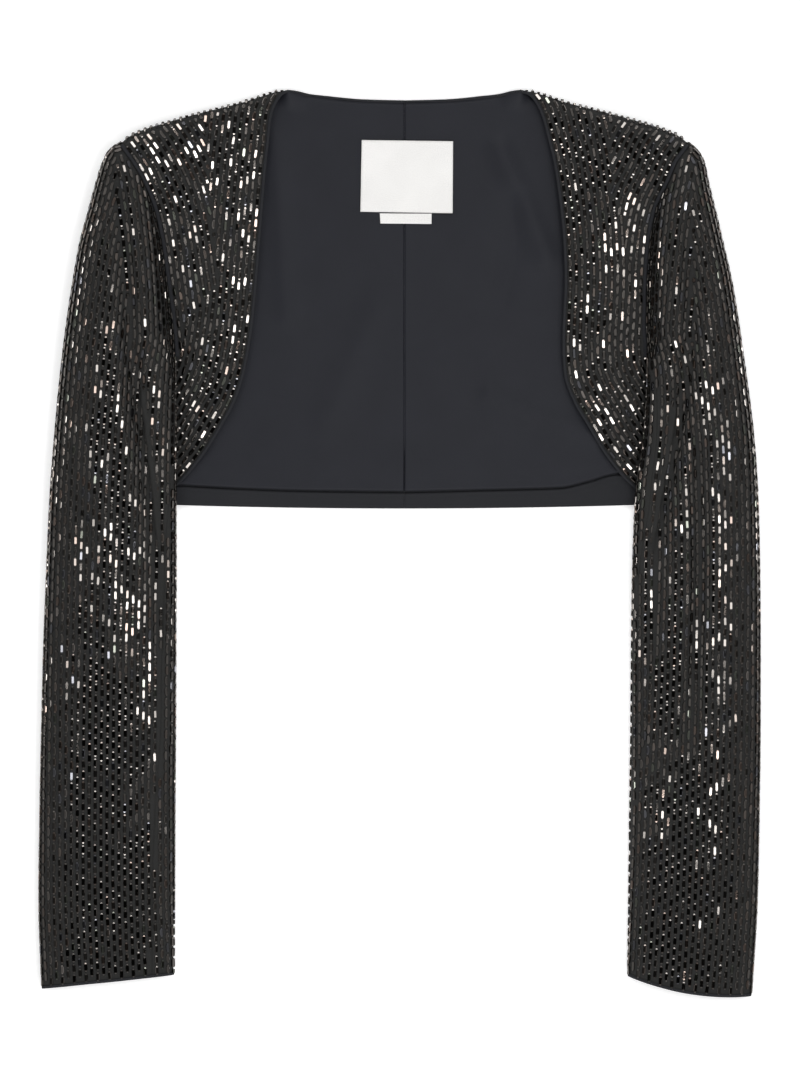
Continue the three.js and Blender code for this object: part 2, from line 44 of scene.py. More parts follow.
# The jacket's driving dimensions, in millimetres. They and the tables below are the same as in the
# solids. Left and right are the sides of the model where X is less or more than CENTRE_X, and
# places on the body are given as a, the distance out from the centre back line, and y.
CENTRE_X = 4.0
CLOTH = 1.8
SEAM_GAP = 0.3
HEM_Y = 25.5
HEM_RISE = 3.5
SIDE_A = 200.0
UNDERARM_Y = 137.0
NECK_A = 93.0
SHOULDER_SEAM = math.pi / 4
FRONT_Z = 11.0
SIDE_Z = CLOTH * 2 + 0.5
BODY_LIFT = 9.2
LINING_A = 172.0
HEM_FACING = 24.0
CAP_ROWS = 8  # the last of the sleeve's rows that is sewn into the armhole
BACK_TIP_A = 211.6  # the outermost point of the back, on the shoulder
OUTER_ROLL = (13.5, 11.0)  # the roll under a sleeve's outer fold, at the shoulder and the cuff
INNER_ROLL = 9.0
BACK_TURN = 1.0  # how far past a fold's roll the back seam is, round the underside
SIDES = ("left", "right")
MIRROR = {"left": np.array([-1.0, 1, 1]), "right": np.array([1.0, 1, 1])}

# Baguette stones and the cloth that they are sewn on
STONE_LENGTH = 6.7
STONE_WIDTH = 2.35
STONE_HEIGHT = 1.25
SHORT_STONE = 3.3  # the length of the small ones that fill what is left at a seam
STONE_TURN = 1.6  # how many degrees the stones typically turn off their column
SIZE_SPREAD = 0.015  # and how much they differ in size
HEADING_REACH = STONE_LENGTH * 0.35  # how far each way a stone's heading is taken
END_REACH = 0.42  # how much of a stone's length, each way, has to lie clear of seams
COLUMN_PITCH = 4.46
ROW_PITCH = 8.02  # along a column
CRUST = 1.3  # how far the cloth lies below the tops of the stones
BACKING = 0.8  # the cloth under the stones
SEAM_STRIP = 1.9  # bare cloth beside a seam
FREE_STRIP = 2.1  # beside a front's free edge
ARMHOLE_STRIP = 1.5
CUFF_START = 4.6  # how far up a sleeve's columns the first stones are
HEM_START = 4.0  # and on the back

TOP_EDGE = [  # a, y, radius
    (0, 331.2, 5), (30, 332, 5), (60, 334.8, 5), (80, 338.2, 5), (93, 340, 5.5),
    (108, 336, 6.6), (123, 331.2, 7.8), (153, 323.5, 9.9), (183, 315, 11.8),
    (198, 310, 12.7), (207, 305.5, 13.2), (212, 301.5, 13.5),
]
BACK_EDGE = [  # y, a
    (20, 200), (132, 200), (137, 199.6), (148, 196.6), (167, 191.2), (193, 188.8),
    (220, 188.5), (240, 190.7), (258, 195.6), (271, 201.2), (281, 206.8), (288, 211.3),
]
LINING_EDGE = {  # a, y
    "left": [(0, 38.6), (78, 39.6), (123, 41.2), (190, 45)],
    "right": [(0, 38.6), (57, 40), (117, 41.8), (139, 46.6), (158, 52), (190, 55)],
}
SLEEVE_COLUMNS = "inA inY outA outY backA backY crown midIn midOut bow fore".split()
SLEEVE = {
    "left": [
        (212.1, 297.6, 212.1, 301.5, 212.1, 288, 20.8, 0, 13.5, 0, 0),
        (208.5, 292.5, 221.8, 294.3, 207.7, 281, 27.5, 0, 14.5, 0, 0),
        (203.5, 285.5, 227.3, 283.5, 202.2, 271, 31.5, 0, 15.5, 0, 0),
        (195.5, 272, 231.2, 271, 196.6, 258, 34.5, 0, 16.5, 0, 0),
        (186.5, 250, 237.2, 249, 191.8, 240, 37, 0, 17.5, 0, 0),
        (181, 225, 243.6, 225, 189.5, 220, 38.5, 0, 18, 0, 0),
        (177, 195, 249, 195, 189.8, 193, 39, 0, 18, 0, 0),
        (173, 165, 253.5, 165, 192.2, 167, 39, 0, 18, 0, 0),
        (171.5, 146, 256, 146, 198.2, 148, 38.5, 12, 17.5, 0, 0),
        (170.5, 120, 259, 120, 209, 126, 37.5, 17, 17, 0, 0.02),
        (170.5, 80, 262.7, 80, 212, 84, 35.5, 18.5, 16.5, 0, 0.12),
        (170.5, 35, 266.2, 35, 212, 36, 33, 17.5, 15.5, 0, 0.42),
        (170.5, -20, 268.8, -20, 212, -20, 30.5, 13.5, 14, 0, 0.62),
        (170.8, -75, 271, -75, 213, -75, 28, 12, 13, 0, 0.64),
        (171, -135, 272.6, -135, 215, -135, 26, 11, 12, 0, 0.66),
        (171.5, -200, 274, -201, 216.5, -201, 23.5, 10, 11, 0, 0.78),
        (171.8, -262, 274.8, -267, 217.5, -265, 21, 9, 10, 0, 0.84),
        (172, -324, 272.8, -334.4, 218, -329.2, 19, 8.5, 9, 0, 0.84),
    ],
    "right": [
        (212.1, 297.6, 212.1, 301.5, 212.1, 288, 20.8, 0, 13.5, 0, 0),
        (208.5, 292.5, 220.6, 294, 207.7, 281, 27.5, 0, 14.5, 0, 0),
        (203.5, 285.5, 225.9, 283.5, 202.2, 271, 31.5, 0, 15.5, 0, 0),
        (197, 270, 228.5, 270, 196.6, 258, 34.5, 0, 16.5, 0, 0),
        (187.5, 249, 233.8, 248, 191.8, 240, 37, 0, 17.5, 0, 0),
        (183, 225, 239.2, 225, 189.5, 220, 38.5, 0, 18, 0, 0),
        (181, 195, 246, 195, 189.8, 193, 39, 0, 18, 0, 0),
        (180.5, 165, 251, 165, 192.2, 167, 39, 0, 18, 0, 0),
        (181.5, 146, 253.7, 146, 198.2, 148, 38.5, 12, 17.5, 0, 0),
        (181, 120, 257.5, 120, 209, 126, 37.5, 17, 17, 0, 0.55),
        (178.5, 80, 262.4, 80, 212, 84, 35.5, 18, 16.5, 0, 0.68),
        (172.8, 38, 265.4, 38, 212, 38, 33, 17, 15.5, 0, 0.7),
        (170.6, -17, 267, -17, 212, -17, 30.5, 13.5, 14, 0, 0.44),
        (169.8, -75, 267.5, -75, 212, -75, 28, 12, 13, 0, 0.1),
        (169.3, -135, 267.5, -136, 213, -136, 26, 11, 12, 0, 0.06),
        (168.5, -200, 266.8, -202, 213, -201, 23.5, 10, 11, 1, 0.06),
        (167.8, -262, 265.4, -268, 212, -265, 21, 9, 10, 3, 0.06),
        (167, -325, 261.2, -340, 211, -332, 19, 8.5, 9, 5.5, 0.06),
    ],
}
FRONT_EDGE = {  # a, y
    "left": [
        (91.5, 335.2), (97.5, 327.2), (100.6, 318), (102.5, 300), (104.5, 283), (106.8, 255),
        (109, 228), (111.5, 197), (114, 170), (117.5, 145), (122, 124), (128.5, 105),
        (138, 88), (149.5, 69), (160, 55.5), (172, 43), (186, 34),
    ],
    "right": [
        (93.5, 335.2), (100, 327.5), (104.5, 318), (108.5, 303), (112.5, 287), (117, 258),
        (120, 228), (121.2, 197), (120.3, 172), (119.4, 150), (121, 127), (128, 106),
        (138, 89), (149.5, 69.5), (160, 55.5), (172, 43), (186, 34),
    ],
}
FRONT_SIDE_Y = [134.5, 112, 84, 61, 45, 32.5]

# Creases: width, and the points of a line as a, y and how far the cloth is raised there
FRONT_CREASES = {
    "left": [
        (8, [(170, 166, 1.8), (128, 170, 1.8)]),
        (13, [(172, 148, -1.6), (140, 128, -1.6)]),
        (15, [(162, 262, 2), (128, 196, 2)]),
    ],
    "right": [
        (9, [(180, 176, 2), (124, 150, 2)]),
        (12, [(180, 156, -1.8), (132, 124, -1.8)]),
        (15, [(164, 262, 1.8), (132, 200, 1.8)]),
    ],
}
SLEEVE_CREASES = {
    "left": [
        (9, [(214, 262, -5), (207, 189, -7), (200.5, 114, -8), (190.7, 32, -7), (181, -73, -4.5)]),
        (11, [(238, 90, 1.8), (212, -90, 1.8)]),
        (8, [(172, -150, 1.6), (205, -182, 1.6)]),
        (9, [(174, -196, -1.6), (208, -224, -1.6)]),
    ],
    "right": [
        (9, [(214, 240, -5.5), (214, 159, -7.5), (205, 90, -8), (190, 0, -6), (184, -80, -3.5)]),
        (7, [(219.5, 84, -5), (221, -40, -5.5), (214, -150, -4)]),
        (7, [(170, -138, 2.2), (199, -153, 2.2)]),
        (8, [(169, -184, 2.2), (193, -214, 2.2)]),
        (8, [(170, -162, -2.2), (200, -182, -2.2)]),
    ],
}
LINING_CREASES = {
    "left": [
        (14, [(20, 180, 0.4), (60, 90, 0.4)]),
        (10, [(96, 300, 0.5), (88, 170, 0.5)]),
    ],
    "right": [
        (12, [(72, 296, 1), (106, 216, 1)]),
        (9, [(64, 112, 0.7), (142, 78, 0.7)]),
        (11, [(84, 260, -0.5), (70, 180, -0.5)]),
    ],
}

# Where a sleeve's columns that follow the outer fold meet those that follow the inner one: y, a
COLUMN_MEETING = {
    "left": [
        (-331, 170), (-230, 171), (-118, 176), (-73, 180.2), (-43, 183.2), (-23, 187), (2, 190.8),
        (39, 196), (122, 202), (182, 207.2), (234, 213.2), (272, 214.8), (302, 215),
    ],
    "right": [
        (-331, 166), (-250, 168), (-118, 182), (-58, 188), (-3, 188.8), (23, 193.2), (44, 198.5),
        (84, 206.8), (133, 213), (182, 216.5), (240, 216), (302, 214),
    ],
}

# Where a front's columns that follow its free edge meet those that follow the armhole: y, a
FRONT_MEETING = {
    "left": [
        (20, 240), (130, 200), (163, 166), (180, 149.5), (200, 139.5), (230, 142), (272, 145.8),
        (323, 149.5), (345, 150.5),
    ],
    "right": [
        (20, 240), (150, 205), (182, 180), (219, 167), (246, 161.8), (267, 154), (297, 154),
        (325, 157), (345, 158),
    ],
}


def lerp(p, q, t):
    return p + (q - p) * t


def unit(v):
    return v / np.maximum(np.linalg.norm(v, axis=-1, keepdims=True), 1e-9)


def arc_length(points):
    """How far along a line each of its points is."""
    step = np.linalg.norm(np.diff(points, axis=0), axis=-1)
    return np.concatenate([[0], np.cumsum(step)])


def sample(values, length, s):
    """What a line's points carry, a row for each point, at the places s along it."""
    return np.stack([np.interp(s, length, column) for column in values.T], -1)


def spaced(*stretches):
    """Even steps in each of some stretches that meet: first value, last value, count."""
    parts = [np.linspace(*stretch) for stretch in stretches]
    return np.concatenate(parts[:1] + [part[1:] for part in parts[1:]])


def neighbour_mean(v):
    """The mean of each of a line's inner points and its two neighbours."""
    return (v[:-2] + v[1:-1] + v[2:]) / 3


def clamp(x):
    return np.clip(x, 0.0, 1.0)


def smoothstep(low, high, x):
    t = clamp((x - low) / (high - low))
    return t * t * (3 - 2 * t)


class Curve:
    """A smooth curve through a table's points that never swings past them."""

    def __init__(self, xs, ys):
        self.x = np.asarray(xs, float)
        self.y = np.asarray(ys, float)
        rise = np.diff(self.y) / np.diff(self.x)
        before, after = rise[:-1], rise[1:]
        same_way = before * after > 0
        total = np.where(same_way, before + after, 1.0)
        middle = np.where(same_way, 2 * before * after / total, 0.0)
        self.slope = np.concatenate([rise[:1], middle, rise[-1:]])

    def __call__(self, x):
        x = np.clip(x, self.x[0], self.x[-1])
        i = np.clip(np.searchsorted(self.x, x, side="right") - 1, 0, len(self.x) - 2)
        span = self.x[i + 1] - self.x[i]
        t = (x - self.x[i]) / span
        t2, t3 = t * t, t * t * t
        return (
            (2 * t3 - 3 * t2 + 1) * self.y[i]
            + (t3 - 2 * t2 + t) * span * self.slope[i]
            + (3 * t2 - 2 * t3) * self.y[i + 1]
            + (t3 - t2) * span * self.slope[i + 1]
        )


def curve(rows, key, value):
    """One column of a table over another, or over the row number where key is None, as a curve."""
    table = np.asarray(rows, float)
    xs = np.arange(len(table)) if key is None else table[:, key]
    return Curve(xs, table[:, value])


top_y = curve(TOP_EDGE, 0, 1)
roll_radius = curve(TOP_EDGE, 0, 2)
back_edge_a = curve(BACK_EDGE, 0, 1)
lining_edge_y = {side: curve(rows, 0, 1) for side, rows in LINING_EDGE.items()}
meeting_a = {side: curve(rows, 0, 1) for side, rows in COLUMN_MEETING.items()}
sleeve_curves = {
    side: {name: curve(rows, None, k) for k, name in enumerate(SLEEVE_COLUMNS)}
    for side, rows in SLEEVE.items()
}
SLEEVE_LAST = len(SLEEVE["left"]) - 1
FRONT_LAST = len(FRONT_EDGE["left"]) - 1


def crease_height(creases, a, y):
    """The height that a table of creases adds at a place."""
    height = np.zeros(np.broadcast(a, y).shape)
    for width, line in creases:
        nearest, risen = np.inf, 0.0
        for (a0, y0, rise0), (a1, y1, rise1) in zip(line, line[1:]):
            da, dy = a1 - a0, y1 - y0
            t = clamp(((a - a0) * da + (y - y0) * dy) / (da * da + dy * dy))
            away = np.hypot(a - lerp(a0, a1, t), y - lerp(y0, y1, t)) / width
            risen = np.where(away < nearest, lerp(rise0, rise1, t), risen)
            nearest = np.minimum(nearest, away)
        height = height + risen * np.exp(-nearest * nearest * 1.6)
    return height


# Soft unevenness of the cloth: a few slow waves in fixed directions
WAVES = [
    (length, rng.uniform(0, 2 * math.pi), rng.uniform(0, 2 * math.pi), rise)
    for length, rise in [(62, 0.5), (47, 0.4), (34, 0.3), (26, 0.22), (19, 0.13), (14, 0.08)]
]


def unevenness(a, y):
    height = 0.0
    for length, heading, phase, rise in WAVES:
        along = a * math.cos(heading) + y * math.sin(heading)
        height = height + rise * np.sin(2 * math.pi * along / length + phase)
    return height


def roll_end(a):
    return lerp(math.radians(-78), SHOULDER_SEAM, smoothstep(56, NECK_A, a))


def roll_centre_y(a):
    return top_y(a) - roll_radius(a) * np.cos(np.minimum(0, roll_end(a)))


def shoulder_seam_y(a):
    return roll_centre_y(a) + roll_radius(a) * math.cos(SHOULDER_SEAM)


def hem_y(a):
    return HEM_Y + HEM_RISE * (a / SIDE_A) ** 2


def front_height(side, a, y):
    """The height of a front panel's outer face over the floor."""
    radius = roll_radius(a)
    past = y - roll_centre_y(a)
    rolled = radius + np.sqrt(np.maximum(0, radius**2 - past**2))
    slope = smoothstep(0, 150, -past)
    to_side = smoothstep(152, SIDE_A - 6, a)
    to_hem = smoothstep(130, 45, y)
    low = lerp(FRONT_Z - 1.5 * to_hem, SIDE_Z, to_side)
    under_sleeve = smoothstep(168, 130, y) * smoothstep(150, 172, a)
    chest = 4.5 * np.exp(-(((a - 150) / 36) ** 2) - ((y - 222) / 52) ** 2)
    lying = np.minimum(low, lerp(FRONT_Z, 7, under_sleeve))
    shaped = lerp(2 * radius, lying, slope) + chest * (1 - 0.7 * under_sleeve)
    fade = smoothstep(SIDE_A, SIDE_A - 30, a)
    shaped = shaped + crease_height(FRONT_CREASES[side], a, y) * fade
    return np.where(past > 0, rolled, shaped)


def front_face(side, a, y):
    """The same with the cloth's unevenness, which fades out at the shoulder and the side."""
    fade = smoothstep(4, 30, roll_centre_y(a) - y) * smoothstep(SIDE_A - 10, SIDE_A - 40, a)
    return front_height(side, a, y) + 0.6 * unevenness(a, y) * fade


def body_lift(a, y):
    """How far a sleeve's underside is carried above the floor by the body under it."""
    in_from_side = smoothstep(SIDE_A + 8, SIDE_A + 0.5, a)
    below_armhole = smoothstep(UNDERARM_Y + 13, UNDERARM_Y, y)
    above_hem = smoothstep(HEM_Y - 24, HEM_Y + 2, y)
    return BODY_LIFT * in_from_side * below_armhole * above_hem


def sleeve_point(side, row, turn):
    """A point of a sleeve's outer face as a, y, z. row runs down the table of sections. turn runs
    round a section: 0 to pi is its top from the inner to the outer fold, the next pi / 2 the roll
    under the outer fold, and BACK_TURN more the underside as far as the back seam. Less than 0 is
    the same from the inner fold, the other way."""
    row, turn = np.broadcast_arrays(np.asarray(row, float), np.asarray(turn, float))
    g = {name: c(row) for name, c in sleeve_curves[side].items()}
    sewn = 1 - smoothstep(CAP_ROWS - 0.5, CAP_ROWS + 0.5, row)
    seam_height = front_height(side, g["inA"], g["inY"]) - CLOTH / 2
    mid_in = lerp(g["midIn"], seam_height, sewn)
    mid_out = g["midOut"]

    across = (1 + np.cos(turn)) / 2
    power = np.where(across > 0.5, lerp(2.2, 1.9, sewn), 2.3)
    swell = np.maximum(0, 1 - np.abs(np.cos(turn)) ** power) ** (1 / power)
    a = lerp(g["outA"], g["inA"], across)
    y = lerp(g["outY"], g["inY"], across) - 4 * g["bow"] * across * (1 - across)
    mid = lerp(mid_out, mid_in, across)
    relief = crease_height(SLEEVE_CREASES[side], a, y) * smoothstep(0, 1.5, row)
    looseness = lerp(0.65, 0.35, smoothstep(10, 14, row)) * smoothstep(0, 2, row)
    relief = relief + looseness * unevenness(a + 300, y)
    top = np.stack([a, y, mid + (g["crown"] - mid) * swell + relief * swell], -1)

    under = turn > 0
    edge_a = np.where(under, g["outA"], g["inA"])
    edge_y = np.where(under, g["outY"], g["inY"])
    mid = np.where(under, mid_out, mid_in)
    span = np.hypot(g["backA"] - edge_a, g["backY"] - edge_y)
    outer_roll = lerp(*OUTER_ROLL, clamp(row / SLEEVE_LAST))
    roll = np.minimum(np.where(under, outer_roll, INNER_ROLL), span * 0.98)
    past = np.where(under, turn - math.pi, -turn)
    bend = np.clip(past, 0, math.pi / 2)
    along = np.maximum(0, past - math.pi / 2)
    share = (roll * (1 - np.cos(bend)) + (span - roll) * along) / np.maximum(span, 1e-6)
    a = lerp(edge_a, g["backA"], share)
    y = lerp(edge_y, g["backY"], share)
    width = np.where(np.abs(g["inA"] - g["outA"]) < 1e-6, 1, g["inA"] - g["outA"])
    across = clamp((a - g["outA"]) / width)
    y = y - 4 * g["bow"] * across * (1 - across)
    ground = body_lift(a, y)
    low = np.stack([a, y, ground + (mid - ground) * (1 - np.sin(bend))], -1)

    on_top = (turn >= 0) & (turn <= math.pi)
    return np.where(on_top[..., None], top, low)


def back_point(a, along):
    """A point of the back's outer face: along 0 to 1 is flat, and 1 to 2 goes round the roll."""
    a, along = np.broadcast_arrays(np.asarray(a, float), np.asarray(along, float))
    flat_y = lerp(hem_y(a), roll_centre_y(a), clamp(along))
    turn = lerp(-math.pi / 2, roll_end(a), clamp(along - 1))
    radius = roll_radius(a)
    rolled = along > 1
    y = np.where(rolled, roll_centre_y(a) + radius * np.cos(turn), flat_y)
    z = np.where(rolled, radius + radius * np.sin(turn), 0.0)
    return np.stack([a, y, z], -1)


def back_edge(along):
    """The a of the back's outer edge: its side seam, armhole and shoulder tip."""
    a = np.full(np.shape(along), SIDE_A)
    for _ in range(12):
        a = back_edge_a(back_point(a, np.minimum(1, along))[..., 1])
    round_tip = lerp(a, BACK_TIP_A, np.sin(clamp(along - 1) * math.pi / 2))
    return np.where(along <= 1, a, round_tip)


def front_outer(side):
    """The front's sewn edge: the armhole, the underarm and the side seam."""
    rows = SLEEVE[side]
    notch = rows[CAP_ROWS]
    points = [(rows[i][0] - 0.6, rows[i][1]) for i in range(CAP_ROWS + 1)]
    points.append((notch[0] + 1.5, notch[1] - 6))
    points.append((lerp(notch[0], SIDE_A, 0.45), UNDERARM_Y - 1.5))
    points += [(SIDE_A - 0.6, y) for y in FRONT_SIDE_Y]
    return curve(points, None, 0), curve(points, None, 1)


front_edges = {
    side: (curve(rows, None, 0), curve(rows, None, 1)) for side, rows in FRONT_EDGE.items()
}
front_outers = {side: front_outer(side) for side in FRONT_EDGE}


def front_plan(side, row, across):
    """A place on the front, seen from above: across is 0 at the free edge and 1 at the sewn one."""
    edge_a, edge_y = front_edges[side]
    outer_a, outer_y = front_outers[side]
    a = lerp(edge_a(row), outer_a(row), across)
    straight = lerp(edge_y(row), outer_y(row), across)
    first_a = lerp(edge_a(0), outer_a(0), across)
    to_seam = shoulder_seam_y(first_a) - SEAM_GAP - lerp(edge_y(0), outer_y(0), across)
    return a, straight + to_seam * clamp(1 - row / 4) ** 2


def front_point(side, row, across):
    a, y = front_plan(side, row, across)
    return np.stack([a, y, front_face(side, a, y)], -1)


def to_model(side, p):
    """A place on the body as a point of the model, in millimetres."""
    return p * MIRROR[side] + [CENTRE_X, 0, 0]


# Meshes
def make_object(name, points, faces, material, uv=None, flat_faces=0):
    """A piece of the jacket, from points in millimetres. The last flat_faces faces aren't smooth."""
    mesh = bpy.data.meshes.new(name)
    points = np.asarray(points, float).reshape(-1, 3) * MM
    mesh.from_pydata(points.tolist(), [], [tuple(int(i) for i in face) for face in faces])
    mesh.update()
    smooth = [True] * (len(faces) - flat_faces) + [False] * flat_faces
    mesh.polygons.foreach_set("use_smooth", smooth)
    if uv is not None:
        layer = mesh.uv_layers.new(name="Cloth")
        corners = np.empty(len(mesh.loops), int)
        mesh.loops.foreach_get("vertex_index", corners)
        layer.data.foreach_set("uv", uv[corners].ravel())
    mesh.materials.append(material)
    face_outwards(mesh)
    piece = bpy.data.objects.new(name, mesh)
    bpy.context.scene.collection.objects.link(piece)
    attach(piece, "root")
    return piece


def face_outwards(mesh):
    """Turns a closed mesh's faces round if they point inwards."""
    mesh.calc_loop_triangles()
    triangles = np.empty(len(mesh.loop_triangles) * 3, int)
    mesh.loop_triangles.foreach_get("vertices", triangles)
    places = np.empty(len(mesh.vertices) * 3)
    mesh.vertices.foreach_get("co", places)
    p = places.reshape(-1, 3)[triangles.reshape(-1, 3)]
    if np.sum(p[:, 0] * np.cross(p[:, 1], p[:, 2])) < 0:
        mesh.flip_normals()


def grid_faces(rows, columns, start=0):
    """The quads of a grid of points whose first is number start."""
    i, j = np.meshgrid(np.arange(rows - 1), np.arange(columns - 1), indexing="ij")
    p = start + i * columns + j
    return np.stack([p, p + columns, p + columns + 1, p + 1], -1).reshape(-1, 4)


def grid_normals(grid, inward):
    """Unit normals of a grid of points that point the way of inward, an array or one direction."""
    along = np.gradient(grid, axis=0)
    across = np.gradient(grid, axis=1)
    normal = unit(np.cross(along, across))
    wrong = np.sum(normal * inward, -1, keepdims=True) < 0
    return np.where(wrong, -normal, normal)


def cloth_uv(grid):
    """Places on the cloth in millimetres, measured along it, for its weave."""
    rows, columns = grid.shape[:2]
    across = np.cumsum(np.linalg.norm(np.diff(grid, axis=1), axis=-1), axis=1)
    across = np.concatenate([np.zeros((rows, 1)), across], 1)
    across = across - across[:, columns // 2, None]
    along = np.cumsum(np.linalg.norm(np.diff(grid, axis=0), axis=-1), axis=0)
    along = np.concatenate([np.zeros((1, columns)), along], 0)
    return np.stack([across, along], -1).reshape(-1, 2)


def shell(name, grid, inward, depth, thickness, material):
    """A closed wall of cloth that begins depth below a grid of points."""
    normals = grid_normals(grid, inward)
    outer = grid + normals * depth
    inner = outer + normals * thickness
    rows, columns = grid.shape[:2]
    count = rows * columns
    quads = [grid_faces(rows, columns), grid_faces(rows, columns, count)[:, ::-1]]
    ring = np.concatenate([
        np.arange(columns - 1),
        np.arange(rows - 1) * columns + columns - 1,
        (rows - 1) * columns + np.arange(columns - 1, 0, -1),
        np.arange(rows - 1, 0, -1) * columns,
    ])
    after = np.roll(ring, -1)
    quads.append(np.stack([ring, after, after + count, ring + count], -1))
    return make_object(name, np.stack([outer, inner]), np.concatenate(quads), material,
                       uv=np.tile(cloth_uv(outer), (2, 1)), flat_faces=len(ring))


def tube(name, path, up, half_width, half_height, closed=False, sides=12):
    """A rounded band of plain cloth along a path. up is the way of its height at each point."""
    if closed:
        tangent = unit(np.roll(path, -1, 0) - np.roll(path, 1, 0))
    else:
        tangent = unit(np.gradient(path, axis=0))
    side_way = unit(np.cross(tangent, up))
    height = unit(np.cross(side_way, tangent))
    angle = np.arange(sides) * 2 * math.pi / sides
    c, s = np.cos(angle), np.sin(angle)
    across = np.sign(c) * np.abs(c) ** 0.75 * half_width
    rise = np.sign(s) * np.abs(s) ** 0.75 * half_height
    rings = (path[:, None] + side_way[:, None] * across[None, :, None]
             + height[:, None] * rise[None, :, None])
    count = len(path)
    faces = []
    for i in range(count if closed else count - 1):
        for j in range(sides):
            k, n = (j + 1) % sides, (i + 1) % count
            faces.append((i * sides + j, i * sides + k, n * sides + k, n * sides + j))
    if not closed:
        faces.append(tuple(range(sides - 1, -1, -1)))
        faces.append(tuple((count - 1) * sides + j for j in range(sides)))
    uv = np.stack([np.tile(angle * half_width, count), np.repeat(arc_length(path), sides)], -1)
    return make_object(name, rings, faces, mat_plain, uv=uv)


# Materials
def fill_ramp(node, stops):
    """Sets a colour ramp's stops, each a place and a colour."""
    elements = node.color_ramp.elements
    while len(elements) < len(stops):
        elements.new(0.5)
    for element, (place, colour) in zip(elements, stops):
        element.position = place
        element.color = (*colour, 1)


WAVE_AT_SCALE_1 = math.pi / 10  # the length of a wave texture's waves at scale 1


class Nodes:
    """A short way to write a material's nodes."""

    def __init__(self, name):
        self.material = bpy.data.materials.new(name)
        self.material.use_nodes = True
        self.tree = self.material.node_tree
        self.tree.nodes.clear()
        self.output = self.add("ShaderNodeOutputMaterial")
        self.shader = self.add("ShaderNodeBsdfPrincipled")
        self.link(self.shader.outputs[0], self.output.inputs["Surface"])

    def add(self, kind, **settings):
        node = self.tree.nodes.new(kind)
        for name, value in settings.items():
            setattr(node, name, value)
        return node

    def link(self, source, target):
        self.tree.links.new(source, target)

    def set(self, node, **values):
        for name, value in values.items():
            node.inputs[name.replace("_", " ")].default_value = value
        return node

    def noise(self, vector, scale, detail):
        node = self.add("ShaderNodeTexNoise")
        self.set(node, Scale=scale, Detail=detail, Roughness=0.5)
        self.link(vector, node.inputs["Vector"])
        return node.outputs["Fac"]

    def wave(self, vector, length, direction):
        node = self.add("ShaderNodeTexWave", bands_direction=direction)
        self.set(node, Scale=WAVE_AT_SCALE_1 / length, Distortion=0.25)
        self.link(vector, node.inputs["Vector"])
        return node.outputs["Fac"]

    def math(self, operation, first, second):
        node = self.add("ShaderNodeMath", operation=operation)
        for socket, value in zip(node.inputs, (first, second)):
            if isinstance(value, (int, float)):
                socket.default_value = value
            else:
                self.link(value, socket)
        return node.outputs[0]

    def ramp(self, fac, stops):
        node = self.add("ShaderNodeValToRGB")
        fill_ramp(node, stops)
        self.link(fac, node.inputs["Fac"])
        return node.outputs["Color"]

    def bump(self, height, strength, distance):
        node = self.add("ShaderNodeBump")
        self.set(node, Strength=strength, Distance=distance)
        self.link(height, node.inputs["Height"])
        self.link(node.outputs[0], self.shader.inputs["Normal"])


def scaled(colour, factor):
    return tuple(c * factor for c in colour)


def woven(name, colour, roughness, thread, contrast, bump_height, cloud):
    """Plain woven cloth: thread is the distance between its threads, in millimetres, and contrast
    and cloud are how much the threads and slow patches change its colour."""
    n = Nodes(name)
    place = n.add("ShaderNodeUVMap", uv_map="Cloth").outputs[0]
    threads = n.math("MAXIMUM", n.wave(place, thread, "X"), n.wave(place, thread, "Y"))
    slow = n.noise(place, 0.035, 4.0)
    fine = n.noise(place, 1.3, 2.0)
    mix = n.math("ADD", n.math("MULTIPLY", threads, contrast),
                 n.math("ADD", n.math("MULTIPLY", slow, cloud), n.math("MULTIPLY", fine, contrast)))
    stops = [(0.2, scaled(colour, 0.72)), (0.8, scaled(colour, 1.28))]
    shade = n.ramp(n.math("DIVIDE", mix, contrast * 2 + cloud), stops)
    n.link(shade, n.shader.inputs["Base Color"])
    n.set(n.shader, Roughness=roughness, Specular_IOR_Level=0.2)
    n.bump(n.math("ADD", threads, n.math("MULTIPLY", fine, 0.5)), 0.6, bump_height * MM)
    return n.material


def stone_material():
    """Dark foiled glass. Each stone's colour, its foil tint darkened by painted shade on all but the
    fronts' stones, comes from a colour attribute of the mesh.
    """
    n = Nodes("dark_baguette_stone")
    tint = n.add("ShaderNodeAttribute", attribute_type="GEOMETRY", attribute_name="Tint")
    n.link(tint.outputs["Color"], n.shader.inputs["Base Color"])
    n.set(n.shader, Metallic=1.0, Roughness=0.09)
    return n.material


mat_stone = stone_material()
mat_backing = woven("stone_backing_cloth", (0.021, 0.021, 0.0205), 0.85, 0.22, 0.6, 0.08, 0.3)
mat_lining = woven("lining_satin", (0.0132, 0.0140, 0.0188), 0.55, 0.1383, 0.12, 0.02, 0.1)
mat_plain = woven("plain_crepe", (0.0172, 0.0178, 0.0205), 0.8, 0.1886, 0.45, 0.05, 0.2)
mat_label = woven("label_tape", (0.79, 0.78, 0.765), 0.7, 0.1886, 0.2, 0.04, 0.1)

# Stones
STONE_TIP = 0.8  # the width of its ends
STONE_SHOULDER = 1.5  # how far from an end it reaches its full width
GIRDLE = 0.85  # the height where its upright sides end
TABLE_WIDTH = 1.65  # the flat top's
TABLE_LENGTH = 4.9


